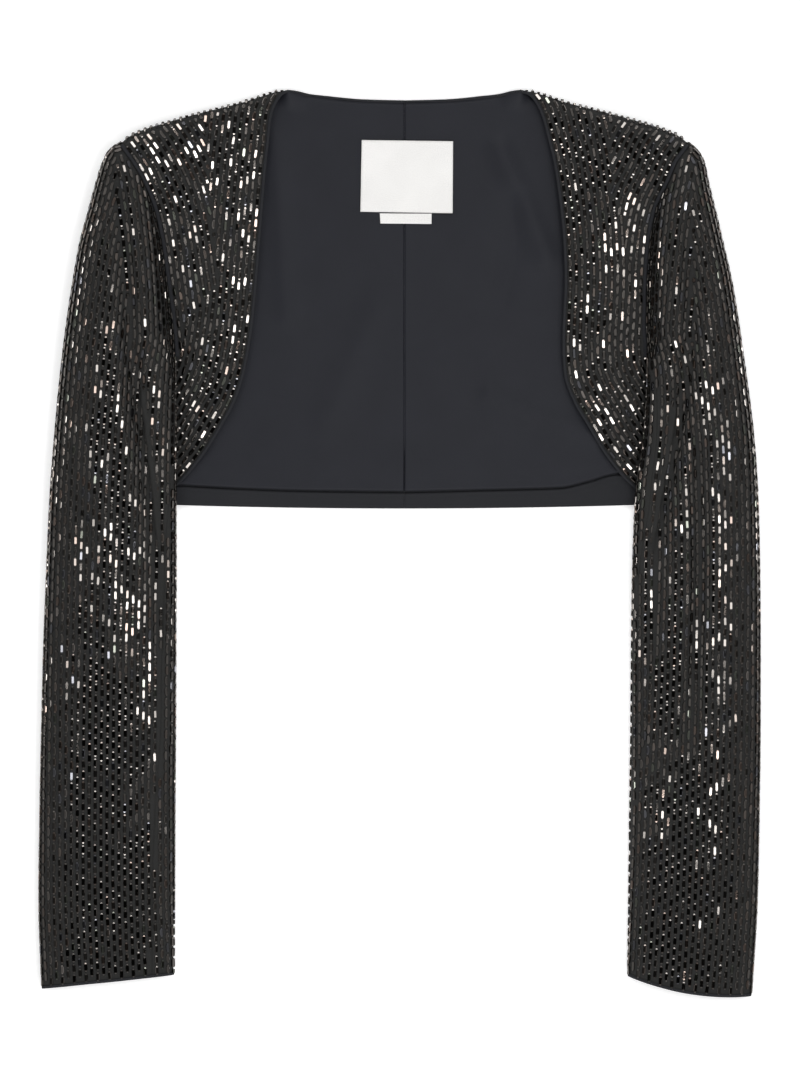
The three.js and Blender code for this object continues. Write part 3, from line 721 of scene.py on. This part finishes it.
def stone_template():
    """A long stone with narrowed ends: its points and faces."""
    long, wide, tip = STONE_LENGTH / 2, STONE_WIDTH / 2, STONE_TIP / 2
    near = long - STONE_SHOULDER
    outline = [(tip, -long), (wide, -near), (wide, near), (tip, long),
               (-tip, long), (-wide, near), (-wide, -near), (-tip, -long)]
    w, h = TABLE_WIDTH / 2, TABLE_LENGTH / 2
    points = [(x, y, 0) for x, y in outline] + [(x, y, GIRDLE) for x, y in outline]
    points += [(x, y, STONE_HEIGHT) for x, y in [(w, -h), (w, h), (-w, h), (-w, -h)]]
    faces = [(7, 6, 5, 4), (7, 4, 3, 0), (3, 2, 1, 0), (16, 17, 18, 19)]
    faces += [(j, (j + 1) % 8, 8 + (j + 1) % 8, 8 + j) for j in range(8)]
    faces += [(9, 10, 17, 16), (13, 14, 19, 18), (11, 12, 18, 17), (15, 8, 16, 19)]
    corners = [(8, 9, 16), (10, 11, 17), (12, 13, 18), (14, 15, 19)]
    return np.array(points, float), faces + corners


STONE_POINTS, STONE_FACES = stone_template()

# Foil tints: share of the stones, colour
TINTS = [
    (0.66, (0.168, 0.155, 0.145)), (0.16, (0.195, 0.168, 0.152)), (0.06, (0.215, 0.170, 0.148)),
    (0.05, (0.158, 0.158, 0.172)), (0.04, (0.158, 0.164, 0.142)), (0.03, (0.270, 0.245, 0.230)),
]


def stones(name, centres, tangents, normals, lengths, loose, shade):
    """One mesh of stones, each with its base on the cloth at a centre and its length on a tangent."""
    count = len(centres)
    normals = unit(normals)
    tangents = unit(tangents - normals * np.sum(tangents * normals, -1, keepdims=True))
    tilt = rng.normal(0, math.radians(loose), (count, 2))
    side = np.cross(tangents, normals)
    normals = unit(normals + side * tilt[:, :1] + tangents * tilt[:, 1:])
    turned = tangents + side * rng.normal(0, math.radians(STONE_TURN), (count, 1))
    tangents = unit(turned - normals * np.sum(turned * normals, -1, keepdims=True))
    side = np.cross(tangents, normals)
    size = 1 + rng.normal(0, SIZE_SPREAD, (count, 3))
    size[:, 1] *= lengths / STONE_LENGTH
    local = STONE_POINTS[None] * size[:, None]
    points = (centres[:, None] + side[:, None] * local[..., :1]
              + tangents[:, None] * local[..., 1:2] + normals[:, None] * local[..., 2:])
    step = len(STONE_POINTS)
    faces = [tuple(i + k * step for i in face) for k in range(count) for face in STONE_FACES]
    piece = make_object(name, points, faces, mat_stone, flat_faces=len(faces))
    shares = np.array([share for share, _ in TINTS])
    kinds = rng.choice(len(TINTS), count, p=shares / shares.sum())
    colours = np.array([colour for _, colour in TINTS])[kinds]
    # shade is painted shade that darkens all of a piece's stones alike; the random factor is each
    # stone's own tone
    colours = colours * shade * rng.uniform(0.75, 1.3, (count, 1))
    per_corner = np.repeat(colours, sum(len(face) for face in STONE_FACES), axis=0)
    rgba = np.concatenate([per_corner, np.ones((len(per_corner), 1))], 1)
    layer = piece.data.color_attributes.new("Tint", "FLOAT_COLOR", "CORNER")
    layer.data.foreach_set("color", rgba.ravel())
    return piece


def place_stones(name, side, centre, tangent, normal, lengths, loose=2.2, shade=0.66):
    """Stones on one side of the body, from places on the outer face. loose is how many degrees they
    typically lean away from the cloth, and shade is painted shade: it darkens the stones' colour, so
    that the same stones are drawn darker on the sleeves and back than on the fronts."""
    centre = to_model(side, centre - normal * CRUST)
    return stones(name, centre, tangent * MIRROR[side], normal * MIRROR[side], lengths, loose, shade)


def along_column(path, normals, offset):
    """Centres, tangents, normals and places along it of the stones on one column of points."""
    length = arc_length(path)
    margin = STONE_LENGTH / 2 + 0.2
    s = np.arange(offset, length[-1] - margin, ROW_PITCH)
    s = s[s > margin]
    if not len(s):
        return None
    ahead, behind = (sample(path, length, s + reach) for reach in (HEADING_REACH, -HEADING_REACH))
    tangents = unit(ahead - behind)
    return sample(path, length, s), tangents, sample(normals, length, s), s


def all_clear(s, length, usable, stone_length, least=0.95):
    """At which places s along a column a stone lies on usable cloth, or on least of it."""
    reach = stone_length * END_REACH
    clear = [np.interp(s + shift, length, usable.astype(float)) for shift in (-reach, 0, reach)]
    return np.minimum.reduce(clear) > least


def runs(mask, least=0):
    """The stretches of a boolean row that are true and longer than least, as slices."""
    padded = np.concatenate([[False], mask, [False]]).astype(int)
    starts = np.flatnonzero(np.diff(padded) == 1)
    ends = np.flatnonzero(np.diff(padded) == -1)
    return [slice(s, e) for s, e in zip(starts, ends) if e - s > least]


class Laid:
    """Stones that are laid already: their centres, headings and lengths."""

    def __init__(self, centres, ways, lengths):
        self.centres, self.ways, self.lengths = centres, ways, lengths

    def and_more(self, centres, ways, length):
        return Laid(np.concatenate([self.centres, centres]), np.concatenate([self.ways, ways]),
                    np.concatenate([self.lengths, np.full(len(centres), length)]))

    def crowded(self, spots, ways, length, least=STONE_WIDTH - 0.05):
        """Which stones of one length would lie nearer than least to ones that are laid."""
        result = np.zeros(len(spots), bool)
        share = np.linspace(-0.5, 0.5, 5)[:, None]
        for i, (spot, way) in enumerate(zip(spots, ways)):
            near = np.sum((self.centres - spot) ** 2, -1) < (STONE_LENGTH + 1) ** 2
            mine = spot + way * share * (length - STONE_WIDTH)
            others = zip(self.centres[near], self.ways[near], self.lengths[near])
            for centre, other_way, other_length in others:
                theirs = centre + other_way * share * (other_length - STONE_WIDTH)
                if np.sum((mine[:, None] - theirs[None]) ** 2, -1).min() < least**2:
                    result[i] = True
                    break
        return result

    def short_places(self, path, usable):
        """Centres and headings of short stones between the laid ones on a column, and their s."""
        length = arc_length(path)
        s = np.arange(0, length[-1], 0.8)
        reach = SHORT_STONE * END_REACH
        clear = all_clear(s, length, usable, SHORT_STONE) & (s > reach) & (s < length[-1] - reach)
        spots = sample(path, length, s)
        ways = sample(unit(np.gradient(path, axis=0)), length, s)
        free = np.flatnonzero(clear)
        clear[free] = ~self.crowded(spots[free], ways[free], SHORT_STONE, STONE_WIDTH + 0.35)
        middles = [(stretch.start + stretch.stop - 1) // 2 for stretch in runs(clear)]
        return spots[middles], ways[middles], s[middles]


def nothing_laid(size):
    return Laid(np.zeros((0, size)), np.zeros((0, size)), np.zeros(0))


# Sleeves
FIRST_TURN, LAST_TURN = -math.pi / 2 - BACK_TURN, math.pi * 1.5 + BACK_TURN
FINE_TURNS = np.linspace(FIRST_TURN, LAST_TURN, 900)
FINE_ROWS = np.linspace(0.02, SLEEVE_LAST, 700)


def even_turns(side, row, first, last, count):
    """Turns at even distances round the cloth of one section."""
    turns = np.linspace(first, last, 400)
    length = arc_length(sleeve_point(side, row, turns))
    return np.interp(np.linspace(0, length[-1], count), length, turns)


def sleeve_wall(name, side, rows, first, last, columns):
    """The wall of cloth between two seams, each given as a function of the row."""
    grid = np.stack([
        to_model(side, sleeve_point(side, row, even_turns(side, row, first(row), last(row), columns)))
        for row in rows
    ])
    g = {name: c(rows) for name, c in sleeve_curves[side].items()}
    middle = np.stack([(g["inA"] + g["outA"]) / 2, (g["inY"] + g["outY"]) / 2, g["crown"] / 2], -1)
    inward = to_model(side, middle)[:, None] - grid
    return shell(name, grid, inward, CRUST, BACKING, mat_backing)


def build_sleeve(side):
    fore = sleeve_curves[side]["fore"]
    rows = np.linspace(0, SLEEVE_LAST, SLEEVE_LAST * 9 + 1)
    top = sleeve_wall(f"top_sleeve_{side}", side, rows, fore, lambda row: LAST_TURN, 96)
    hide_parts(f"sleeve_top_{side}")
    low_rows = rows[rows >= CAP_ROWS + 0.1]
    under = sleeve_wall(f"under_sleeve_{side}", side, low_rows, lambda row: FIRST_TURN, fore, 44)
    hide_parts(f"sleeve_under_{side}")
    return (top, under, *sleeve_stones(side), cuff_band(side), armhole_tape(side))


def armhole_tape(side):
    """The bare strip along the armhole seam, where the front and the sleeve are sewn together."""
    rows = np.linspace(0.05, CAP_ROWS + 0.3, 90)
    a, y = sleeve_curves[side]["inA"](rows) - 0.5, sleeve_curves[side]["inY"](rows)
    path = np.stack([a, y, front_height(side, a, y) - 1.0], -1)
    up = np.tile(unit(np.array([-0.25, 0, 1.0])), (len(path), 1))
    return tube(f"armhole_tape_{side}", to_model(side, path), up * MIRROR[side], 1.5, 0.55)


def cuff_band(side):
    """The narrow plain binding round the cuff."""
    turns = even_turns(side, SLEEVE_LAST, FIRST_TURN + 0.02, LAST_TURN - 0.02, 150)
    path = sleeve_point(side, float(SLEEVE_LAST), turns)
    normal = sleeve_normals(side, np.full(len(turns), float(SLEEVE_LAST)), turns)
    path = to_model(side, path - normal * (CRUST + 0.1)) + [0, 0.6, 0]
    return tube(f"cuff_band_{side}", path, normal * MIRROR[side], 1.1, 0.85, closed=True)


def sleeve_marks(side):
    """How far round the cloth some lines are at each fine row, from the back seam the inner way."""
    in_a, fore = sleeve_curves[side]["inA"], sleeve_curves[side]["fore"]
    fold_a = float(in_a(CAP_ROWS + 1))
    on_top = (FINE_TURNS >= 0) & (FINE_TURNS <= math.pi)
    rows = []
    for row in FINE_ROWS:
        p = sleeve_point(side, row, FINE_TURNS)
        length = arc_length(p)
        inner, outer, seam = np.interp([0.0, math.pi, float(fore(row))], FINE_TURNS, length)
        past = p[on_top, 0] > meeting_a[side](p[on_top, 1])
        sewn = row < CAP_ROWS
        rows.append({
            "length": length,
            "outer": outer,
            "inner": inner - max(0.0, float(in_a(row)) - fold_a) if sewn else inner,
            "meeting": length[on_top][int(np.argmax(past)) if past.any() else -1],
            "seam": seam,
            "first": 0.0 if row > CAP_ROWS + 0.15 else inner,
            "last": length[-1],
        })
    return {name: np.array([row[name] for row in rows]) for name in rows[0]}


def sleeve_stones(side):
    """Columns that keep their distance from the outer fold, and others from the inner one."""
    at = sleeve_marks(side)
    half = STONE_WIDTH / 2
    widest = int(at["last"].max() / COLUMN_PITCH) + 3
    kept = {"top": [], "under": []}
    border = nothing_laid(3)  # the stones beside the line where the two sets of columns meet
    for kind in ("outer", "inner"):
        edge = []
        for k in range(-widest, widest):
            place = at[kind] + (k + 0.5) * COLUMN_PITCH
            if kind == "outer":
                own = place > at["meeting"]
            else:
                own = place < at["meeting"] + COLUMN_PITCH
            if not own.any():
                continue
            turn = np.array([np.interp(s, row, FINE_TURNS) for s, row in zip(place, at["length"])])
            for _ in range(2):
                padded = np.pad(turn, 18, mode="reflect", reflect_type="odd")
                turn = np.convolve(padded, np.full(37, 1 / 37), "valid")
            # A column starts at the cuff, so that all of them line up there
            path = sleeve_point(side, FINE_ROWS, turn)[::-1]
            normals = sleeve_normals(side, FINE_ROWS, turn)[::-1]
            usable = ((place > at["first"] + SEAM_STRIP + half)
                      & (place < at["last"] - SEAM_STRIP + half - 0.6)
                      & (np.abs(place - at["seam"]) > half + 0.1))[::-1]
            own = own[::-1]
            to_meeting = (place - at["meeting"])[::-1]
            offset = CUFF_START + (ROW_PITCH / 2 if (k % 2) == (kind == "inner") else 0)
            found = along_column(path, normals, offset)
            if found is None:
                continue
            centre, tangent, normal, s = found
            length = arc_length(path)
            chosen = all_clear(s, length, usable, STONE_LENGTH)
            chosen &= np.interp(s, length, own.astype(float)) > 0.5
            near = np.abs(np.interp(s, length, to_meeting)) < COLUMN_PITCH * 1.6
            if kind == "outer":
                edge.append((centre[chosen & near], tangent[chosen & near]))
            else:
                check = np.flatnonzero(chosen & near)
                chosen[check] &= ~border.crowded(centre[check], tangent[check], STONE_LENGTH)
            column = [part[chosen] for part in (centre, tangent, normal, s)]
            column.append(np.full(len(column[0]), STONE_LENGTH))
            if kind == "inner":
                beside = np.abs(to_meeting) < COLUMN_PITCH * 1.5
                laid = border.and_more(column[0], column[1], STONE_LENGTH)
                spots, ways, short_s = laid.short_places(path, usable & beside & own)
                border = border.and_more(spots, ways, SHORT_STONE)
                short = (spots, ways, unit(sample(normals, length, short_s)), short_s,
                         np.full(len(spots), SHORT_STONE))
                column = [np.concatenate(parts) for parts in zip(column, short)]
            past_seam = (place > at["seam"])[::-1].astype(float)
            on_top = np.interp(column[3], length, past_seam) > 0.5
            kept["top"].append([part[on_top] for part in column])
            kept["under"].append([part[~on_top] for part in column])
        if kind == "outer":
            border = border.and_more(*(np.concatenate(parts) for parts in zip(*edge)), STONE_LENGTH)
    made = []
    for name, columns in kept.items():
        centre, tangent, normal, _, sizes = (np.concatenate(parts) for parts in zip(*columns))
        # These stones take the default shade: painted shade that draws them darker than the fronts'
        # stones
        made.append(place_stones(f"{name}_sleeve_stones_{side}", side, centre, tangent, normal, sizes))
    return made


def sleeve_normals(side, rows, turn):
    """The way out of a sleeve at each of some points."""
    low, high = (np.clip(rows + step, 0, SLEEVE_LAST) for step in (-0.02, 0.02))
    along = sleeve_point(side, high, turn) - sleeve_point(side, low, turn)
    across = sleeve_point(side, rows, turn + 0.01) - sleeve_point(side, rows, turn - 0.01)
    normal = unit(np.cross(along, across))
    on_top = (turn > 0) & (turn < math.pi)
    wrong = np.where(on_top, normal[..., 2] < -0.25, normal[..., 2] > 0.25)
    sideways = np.abs(normal[..., 2]) <= 0.25
    outer = turn > math.pi / 2
    wrong = np.where(sideways, np.where(outer, normal[..., 0] < 0, normal[..., 0] > 0), wrong)
    return np.where(wrong[..., None], -normal, normal)


# Back
def build_back(side):
    alongs = spaced((0, 1, 90), (1, 2, 22))
    edge = back_edge(alongs) - np.where(alongs > 0.985, 0, SEAM_GAP)
    a = lerp(0.05, edge[:, None], np.linspace(0, 1, 72)[None])
    grid = to_model(side, back_point(a, alongs[:, None]))
    inward = np.zeros_like(grid)
    inward[..., 1] = np.where(grid[..., 2] > 0.5, -1, 0)
    inward[..., 2] = np.where(grid[..., 2] > 11, -0.5, 1)
    piece = shell(f"back_cloth_{side}", grid, inward, CRUST, BACKING, mat_backing)
    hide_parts(f"back_{side}")
    laid = []
    fine = spaced((0, 1, 120), (1, 2, 60))
    edge = back_edge(fine)
    for k in range(int(TOP_EDGE[-1][0] / COLUMN_PITCH) + 1):
        a = SEAM_STRIP + STONE_WIDTH / 2 - 0.4 + k * COLUMN_PITCH
        path, normals = back_point(a, fine), back_normals(a, fine)
        for stretch in runs(a < edge - STONE_WIDTH / 2 - 1.2, 2):
            column = path[stretch]
            found = along_column(column, normals[stretch], HEM_START + (ROW_PITCH / 2) * (k % 2))
            if found is None:
                continue
            sizes = np.full(len(found[0]), STONE_LENGTH)
            full = Laid(found[0], found[1], sizes)
            spots, ways, s = full.short_places(column, np.ones(len(column), bool))
            short_normals = sample(normals[stretch], arc_length(column), s)
            laid.append((*found[:3], sizes))
            laid.append((spots, ways, short_normals, np.full(len(spots), SHORT_STONE)))
    # The back's stones take the default shade too: painted shade that draws them darker than the
    # fronts'
    return piece, place_stones(f"back_stones_{side}", side, *map(np.concatenate, zip(*laid)))


def back_normals(a, along):
    """The way out of the back at each of some points."""
    turn = lerp(-math.pi / 2, roll_end(a), clamp(along - 1))
    return np.stack([np.zeros_like(turn), np.cos(turn), np.sin(turn)], -1)


# Fronts
def build_front(side):
    rows = np.linspace(0, FRONT_LAST, FRONT_LAST * 8 + 1)
    grid = to_model(side, front_point(side, rows[:, None], np.linspace(0, 1, 64)[None]))
    down = np.array([0, -0.2, -1.0])
    piece = shell(f"front_cloth_{side}", grid, down, CRUST, BACKING, mat_backing)
    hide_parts(f"front_{side}")
    # The fronts' stones keep their full colour (shade=1); elsewhere the same stones are drawn darker
    # as painted shade
    made = place_stones(f"front_stones_{side}", side, *front_stones(side), loose=3.8, shade=1)
    return piece, made


def unroll(a, y):
    """Turns y into the distance along the cloth where the front rolls over the shoulder."""
    centre, radius = roll_centre_y(a), roll_radius(a)
    past = clamp((y - centre) / radius)
    return np.where(y > centre, centre + radius * np.arcsin(past), y)


def roll_up(a, w):
    """The y of a place on the front from its distance along the cloth."""
    centre, radius = roll_centre_y(a), roll_radius(a)
    return np.where(w > centre, centre + radius * np.sin(np.minimum((w - centre) / radius, 1.5)), w)


def distance_to_line(points, line):
    """How far each point is from a line of joined segments."""
    p, q = line[:-1], line[1:]
    d = q - p
    t = clamp(np.sum((points[:, None] - p[None]) * d[None], -1)
              / np.maximum(np.sum(d * d, -1), 1e-9)[None])
    near = p[None] + d[None] * t[..., None]
    return np.linalg.norm(points[:, None] - near, axis=-1).min(1)


def inside_polygon(points, polygon):
    """Which points have an odd number of the polygon's sides to one side of them."""
    x, y = points[:, 0, None], points[:, 1, None]
    p, q = polygon, np.roll(polygon, -1, 0)
    crosses = (p[None, :, 1] > y) != (q[None, :, 1] > y)
    height = q[None, :, 1] - p[None, :, 1]
    at = p[None, :, 0] + (y - p[None, :, 1]) * (q[None, :, 0] - p[None, :, 0]) / np.where(
        height == 0, 1e-9, height)
    return (np.sum(crosses & (x < at), 1) % 2) == 1


def offset_columns(line, inward_to, count, first):
    """Lines at even distances from a line, on the side where inward_to lies, and the distances."""
    way = unit(np.gradient(line, axis=0))
    for _ in range(6):
        way[1:-1] = unit(neighbour_mean(way))
    across = np.stack([-way[:, 1], way[:, 0]], -1)
    middle = len(line) // 2
    if np.dot(across[middle], inward_to - line[middle]) < 0:
        across = -across
    for k in range(count):
        yield line + across * (first + k * COLUMN_PITCH), first + k * COLUMN_PITCH


def longer(line, length):
    """The line, carried on straight at both ends."""
    steps = np.arange(1, length)[:, None]
    before = line[0] - unit(line[3] - line[0]) * steps[::-1]
    after = line[-1] + unit(line[-1] - line[-4]) * steps
    return np.concatenate([before, line, after])


class FrontPlan:
    """The unrolled front panel's outline."""

    def __init__(self, side):
        rows = np.linspace(0, FRONT_LAST, 241)
        a, y = front_plan(side, rows[:, None], np.linspace(0, 1, 25)[None])
        flat = np.stack([a, unroll(a, y)], -1)
        self.free, self.sewn = flat[:, 0], flat[:, -1]
        self.top, self.bottom = flat[0], flat[-1]
        self.armhole = flat[rows <= CAP_ROWS + 0.05, -1]
        self.outline = np.concatenate([self.free, self.bottom, self.sewn[::-1], self.top[::-1]])

    def clear(self, points):
        """Where a stone's middle line stays clear of the edges and seams."""
        half = STONE_WIDTH / 2
        return (
            inside_polygon(points, self.outline)
            & (distance_to_line(points, self.free) > 2.0 + half)
            & (distance_to_line(points, self.sewn) > 1.2 + half)
            & (distance_to_line(points, self.top) > 0.2)
            & (distance_to_line(points, self.bottom) > 1.0)
        )


def best_phase(column, usable, own, before):
    """The stones on a column, shifted along it so that they lie farthest from the last column's."""
    way = unit(np.gradient(column, axis=0))
    length = arc_length(column)
    best, best_score = None, -1.0
    for phase in np.arange(0, ROW_PITCH, ROW_PITCH / 24):
        s = np.arange(phase, length[-1], ROW_PITCH)
        s = s[all_clear(s, length, usable, STONE_LENGTH, 0.9)
              & (np.interp(s, length, own.astype(float)) > 0.5)]
        if not len(s):
            continue
        spots = sample(column, length, s)
        score = 0.02 * len(s)
        if before is not None:
            away = np.sqrt(((spots[:, None] - before[None]) ** 2).sum(-1)).min(1)
            score += np.minimum(away, 1.5 * COLUMN_PITCH).mean()
        if score > best_score:
            best, best_score = (spots, unit(sample(way, length, s))), score
    return best


def front_stones(side):
    """Columns that keep their distance from the free edge, and beside the armhole from that.
    Gives the stones' centres, tangents, normals and lengths."""
    plan = FrontPlan(side)
    border = curve(FRONT_MEETING[side], 0, 1)
    inner = np.array([150.0, 200.0])
    laid, columns = nothing_laid(2), []
    for source, strip, beyond in ((plan.free, FREE_STRIP, 0), (plan.armhole, ARMHOLE_STRIP, 400)):
        line = longer(source, 50)
        length = arc_length(line)
        line = sample(line, length, np.arange(0, length[-1], 0.6))
        before = None
        for column, distance in offset_columns(line, inner, 30, strip + STONE_WIDTH / 2):
            own = column[:, 0] < border(column[:, 1]) + beyond
            usable = plan.clear(column)
            usable &= distance_to_line(column, longer(source, 50)) > distance - 0.3
            columns.append((column, usable & own))
            best = best_phase(column, usable, own, before)
            if best is None:
                continue
            before, ways = best
            free = slice(None)
            if source is plan.armhole:
                free = ~laid.crowded(before, ways, STONE_LENGTH)
            laid = laid.and_more(before[free], ways[free], STONE_LENGTH)
    for column, usable in columns:
        spots, ways, _ = laid.short_places(column, usable)
        laid = laid.and_more(spots, ways, SHORT_STONE)
    lifted = []
    for shift in (0, HEADING_REACH, -HEADING_REACH):
        a, w = (laid.centres + laid.ways * shift).T
        y = roll_up(a, w)
        lifted.append(np.stack([a, y, front_face(side, a, y)], -1))
    return lifted[0], lifted[1] - lifted[2], front_normals(side, lifted[0]), laid.lengths


def front_normals(side, p, step=0.3):
    """The way out of a front at each of some points."""
    a, y = p[:, 0], p[:, 1]
    slope_a = (front_face(side, a + step, y) - front_face(side, a - step, y)) / (2 * step)
    slope_y = (front_face(side, a, y + step) - front_face(side, a, y - step)) / (2 * step)
    slope_y = np.clip(slope_y, -1.2, 1.2)
    return unit(np.stack([-slope_a, -slope_y, np.ones_like(a)], -1))


def edge_band(side):
    """The narrow plain binding: along the back neck, round the neck point, and down the front."""
    neck_a = np.linspace(0, 90, 50)
    neck = back_point(neck_a, 2.0) - back_normals(neck_a, 2.0)
    neck[:, 1] += 1.1 * smoothstep(70, 88, neck_a)
    neck[:, 2] = np.maximum(neck[:, 2] - 0.6, 1.9)
    rows = spaced((0, 2, 14), (2, FRONT_LAST, 160))
    front = front_point(side, rows, np.zeros_like(rows))
    normal = front_normals(side, front)
    path = np.concatenate([neck, front - normal * 1.2])
    up = np.concatenate([np.tile([0, 0.3, 1], (len(neck), 1)), normal])
    first, last = len(neck) - 5, len(neck) + 10  # round the neck point
    for _ in range(3):
        up[1:-1] = unit(neighbour_mean(up))
        path[first:last] = neighbour_mean(path[first - 1:last + 1])
    return tube(f"edge_band_{side}", to_model(side, path), up * MIRROR[side], 1.2, 1.05)


# Lining, hem facing and labels
DOWN = np.array([0, 0, -1.0])


def bell(x, width):
    return np.exp(-((x / width) ** 2))


def build_lining(side):
    low_edge = lining_edge_y[side]
    share = spaced((0, 0.1, 14), (0.1, 1, 90))
    a = lerp(0.002, LINING_A, spaced((0, 0.018, 14), (0.018, 1, 84)))[None]
    high = np.minimum(top_y(a) - 1.1, roll_centre_y(a) - 0.4 + 9 * smoothstep(96, 88, a))
    y = lerp(low_edge(a), high, share[:, None])
    a = np.broadcast_to(a, y.shape)
    facing_top = hem_y(a) + HEM_FACING
    z = CLOTH + SEAM_GAP + 1.0 + 1.4 * (1 - smoothstep(facing_top + 2, facing_top + 25, y))
    z = z + 3.2 * crease_height(LINING_CREASES[side], a, y) * smoothstep(0, 12, a)
    z = z + 0.3 * unevenness(a * 0.6 + (0 if side == "left" else 90), y * 0.6)
    z = z - 1.1 * bell(a, 0.6)  # the centre seam
    z = z + 0.5 * smoothstep(6, 1, y - low_edge(a))
    z = np.maximum(z, CLOTH + 0.55)
    rolled = roll_radius(a) * (1 + np.sin(roll_end(a))) + 0.3
    up_the_roll = smoothstep(16, 0, high - y) * smoothstep(95, 86, a)
    z = np.maximum(z, lerp(z, rolled, up_the_roll))
    grid = to_model(side, np.stack([a, y, z], -1))
    piece = shell(f"lining_{side}", grid, DOWN, 0, 0.45, mat_lining)
    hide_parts(f"back_lining_{side}")
    return piece


def build_facing(side):
    share = spaced((-0.015, 0.1, 10), (0.1, 1, 64))
    a = lerp(0.002, LINING_A + 4, spaced((0, 0.018, 12), (0.018, 1, 70)))[None]
    y = hem_y(a) + 0.4 + HEM_FACING * share[:, None]
    a = np.broadcast_to(a, y.shape)
    below = lining_edge_y[side](a) - y
    z = 2.95 + 0.06 * unevenness(a * 0.8, y)
    z = z - 1.1 * bell(y - hem_y(a) + 0.5, 0.9)  # the fold of the hem
    z = z - 0.5 * bell(a, 0.8)  # the centre seam
    z = z + 1.2 * bell(below - 3.1, 2.1) - 2.2 * bell(below - 0.6, 0.8)  # under the lining's edge
    z = np.maximum(z, CLOTH + 0.6)
    grid = to_model(side, np.stack([a, y, z], -1))
    piece = shell(f"hem_facing_cloth_{side}", grid, DOWN, 0, 0.5, mat_plain)
    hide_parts(f"hem_facing_{side}")
    return piece


def build_label(name, node, corners, lift, thickness):
    """A woven tab with slightly raised sides. Its corners go round from the top left one."""
    tl, tr, br, bl = (np.array(c, float) for c in corners)
    u = np.linspace(0, 1, 41)[None, :, None]
    v = np.linspace(0, 1, 33)[:, None, None]
    plan = lerp(lerp(tl, tr, u), lerp(bl, br, u), v)
    z = lift + 0.14 * (1 - (2 * v - 1) ** 2) + 0.3 * np.abs(2 * u - 1) ** 8
    grid = np.concatenate([plan, np.broadcast_to(z, plan.shape[:2] + (1,))], -1)
    piece = shell(name, grid, DOWN, 0, thickness, mat_label)
    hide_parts(node)
    return piece


for side in SIDES:
    top, under, top_stones, under_stones, cuff, tape = build_sleeve(side)
    back, back_stones = build_back(side)
    front, front_made = build_front(side)
    band = edge_band(side)
    lining = build_lining(side)
    facing = build_facing(side)

neck_label = build_label(
    "neck_label_tape", "neck_label",
    [(-28.0, 302.3), (40.6, 301.4), (40.3, 247.3), (-29.0, 248.4)], 4.3, 0.45)
size_label = build_label(
    "size_label_tape", "size_label",
    [(-14.4, 247.2), (24.5, 247.0), (24.4, 239.2), (-14.0, 239.6)], 4.1, 0.4)

# Floor, light and camera, in metres
FLOOR_REACH = 4.0
CAMERA = (0.00075, 0.0071, 5.0)
SUBJECT_HEIGHT = 0.012  # where the view's height is measured
VIEW_HEIGHT = 0.7995
SENSOR = 36  # millimetres
LAMPS = [  # name, place, size, radiance
    ("softbox_hem", (0, -1.53, 1.58), (1.5, 0.5), 7),
    ("softbox_neck", (0, 1.53, 1.58), (1.5, 0.5), 5),
    ("softbox_centre", (0.5, 0.05, 2.1), (0.42, 0.42), 14.5),
    ("softbox_left", (-0.58, -0.03, 1.0), (0.2, 0.16), 7),
    ("softbox_right", (0.6, -0.03, 1.0), (0.22, 0.16), 7),
]
ROOM = [(0.14, 0.01), (0.25, 0.12), (0.38, 0.6), (0.5, 1.0), (1.0, 0.85)]  # from overhead out, grey


def add_floor():
    mesh = bpy.data.meshes.new("floor")
    corners = [(x * FLOOR_REACH, y * FLOOR_REACH, 0) for x, y in ((-1, -1), (1, -1), (1, 1), (-1, 1))]
    mesh.from_pydata(corners, [], [(0, 1, 2, 3)])
    paper = Nodes("floor_paper")
    paper.set(paper.shader, Base_Color=(0.9, 0.9, 0.9, 1), Roughness=0.9,
              Emission_Color=(1, 1, 1, 1), Emission_Strength=0.38)
    mesh.materials.append(paper.material)
    floor = bpy.data.objects.new("floor", mesh)
    floor.location.z = -0.0005
    bpy.context.scene.collection.objects.link(floor)


def softbox(name, place, size, radiance):
    """A lamp that faces the middle of the jacket. size is across and along, in metres."""
    data = bpy.data.lights.new(name, "AREA")
    data.shape = "RECTANGLE"
    data.size, data.size_y = size
    data.energy = radiance * math.pi * size[0] * size[1]
    lamp = bpy.data.objects.new(name, data)
    lamp.location = place
    lamp.rotation_euler = (-Vector(place)).to_track_quat("-Z", "Y").to_euler()
    bpy.context.scene.collection.objects.link(lamp)


def studio_world():
    """A grey room with a dark band overhead, from left to right, where the camera hangs."""
    world = bpy.data.worlds.new("studio")
    world.use_nodes = True
    tree = world.node_tree
    background = tree.nodes["Background"]
    place = tree.nodes.new("ShaderNodeTexCoord")
    flatten = tree.nodes.new("ShaderNodeVectorMath")
    flatten.operation = "MULTIPLY"
    flatten.inputs[1].default_value = (0.5, 1, 0)
    distance = tree.nodes.new("ShaderNodeVectorMath")
    distance.operation = "LENGTH"
    ramp = tree.nodes.new("ShaderNodeValToRGB")
    tree.links.new(place.outputs["Generated"], flatten.inputs[0])
    tree.links.new(flatten.outputs["Vector"], distance.inputs[0])
    tree.links.new(distance.outputs["Value"], ramp.inputs["Fac"])
    tree.links.new(ramp.outputs["Color"], background.inputs["Color"])
    fill_ramp(ramp, [(out, (grey, grey, grey)) for out, grey in ROOM])
    background.inputs["Strength"].default_value = 0.63
    bpy.context.scene.world = world


def add_camera():
    data = bpy.data.cameras.new("camera")
    data.sensor_width = SENSOR
    data.lens = SENSOR * (CAMERA[2] - SUBJECT_HEIGHT) / VIEW_HEIGHT
    camera = bpy.data.objects.new("camera", data)
    camera.location = CAMERA
    bpy.context.scene.collection.objects.link(camera)
    bpy.context.scene.camera = camera


add_floor()
for lamp in LAMPS:
    softbox(*lamp)
studio_world()
add_camera()
bpy.context.scene.view_settings.view_transform = "Standard"
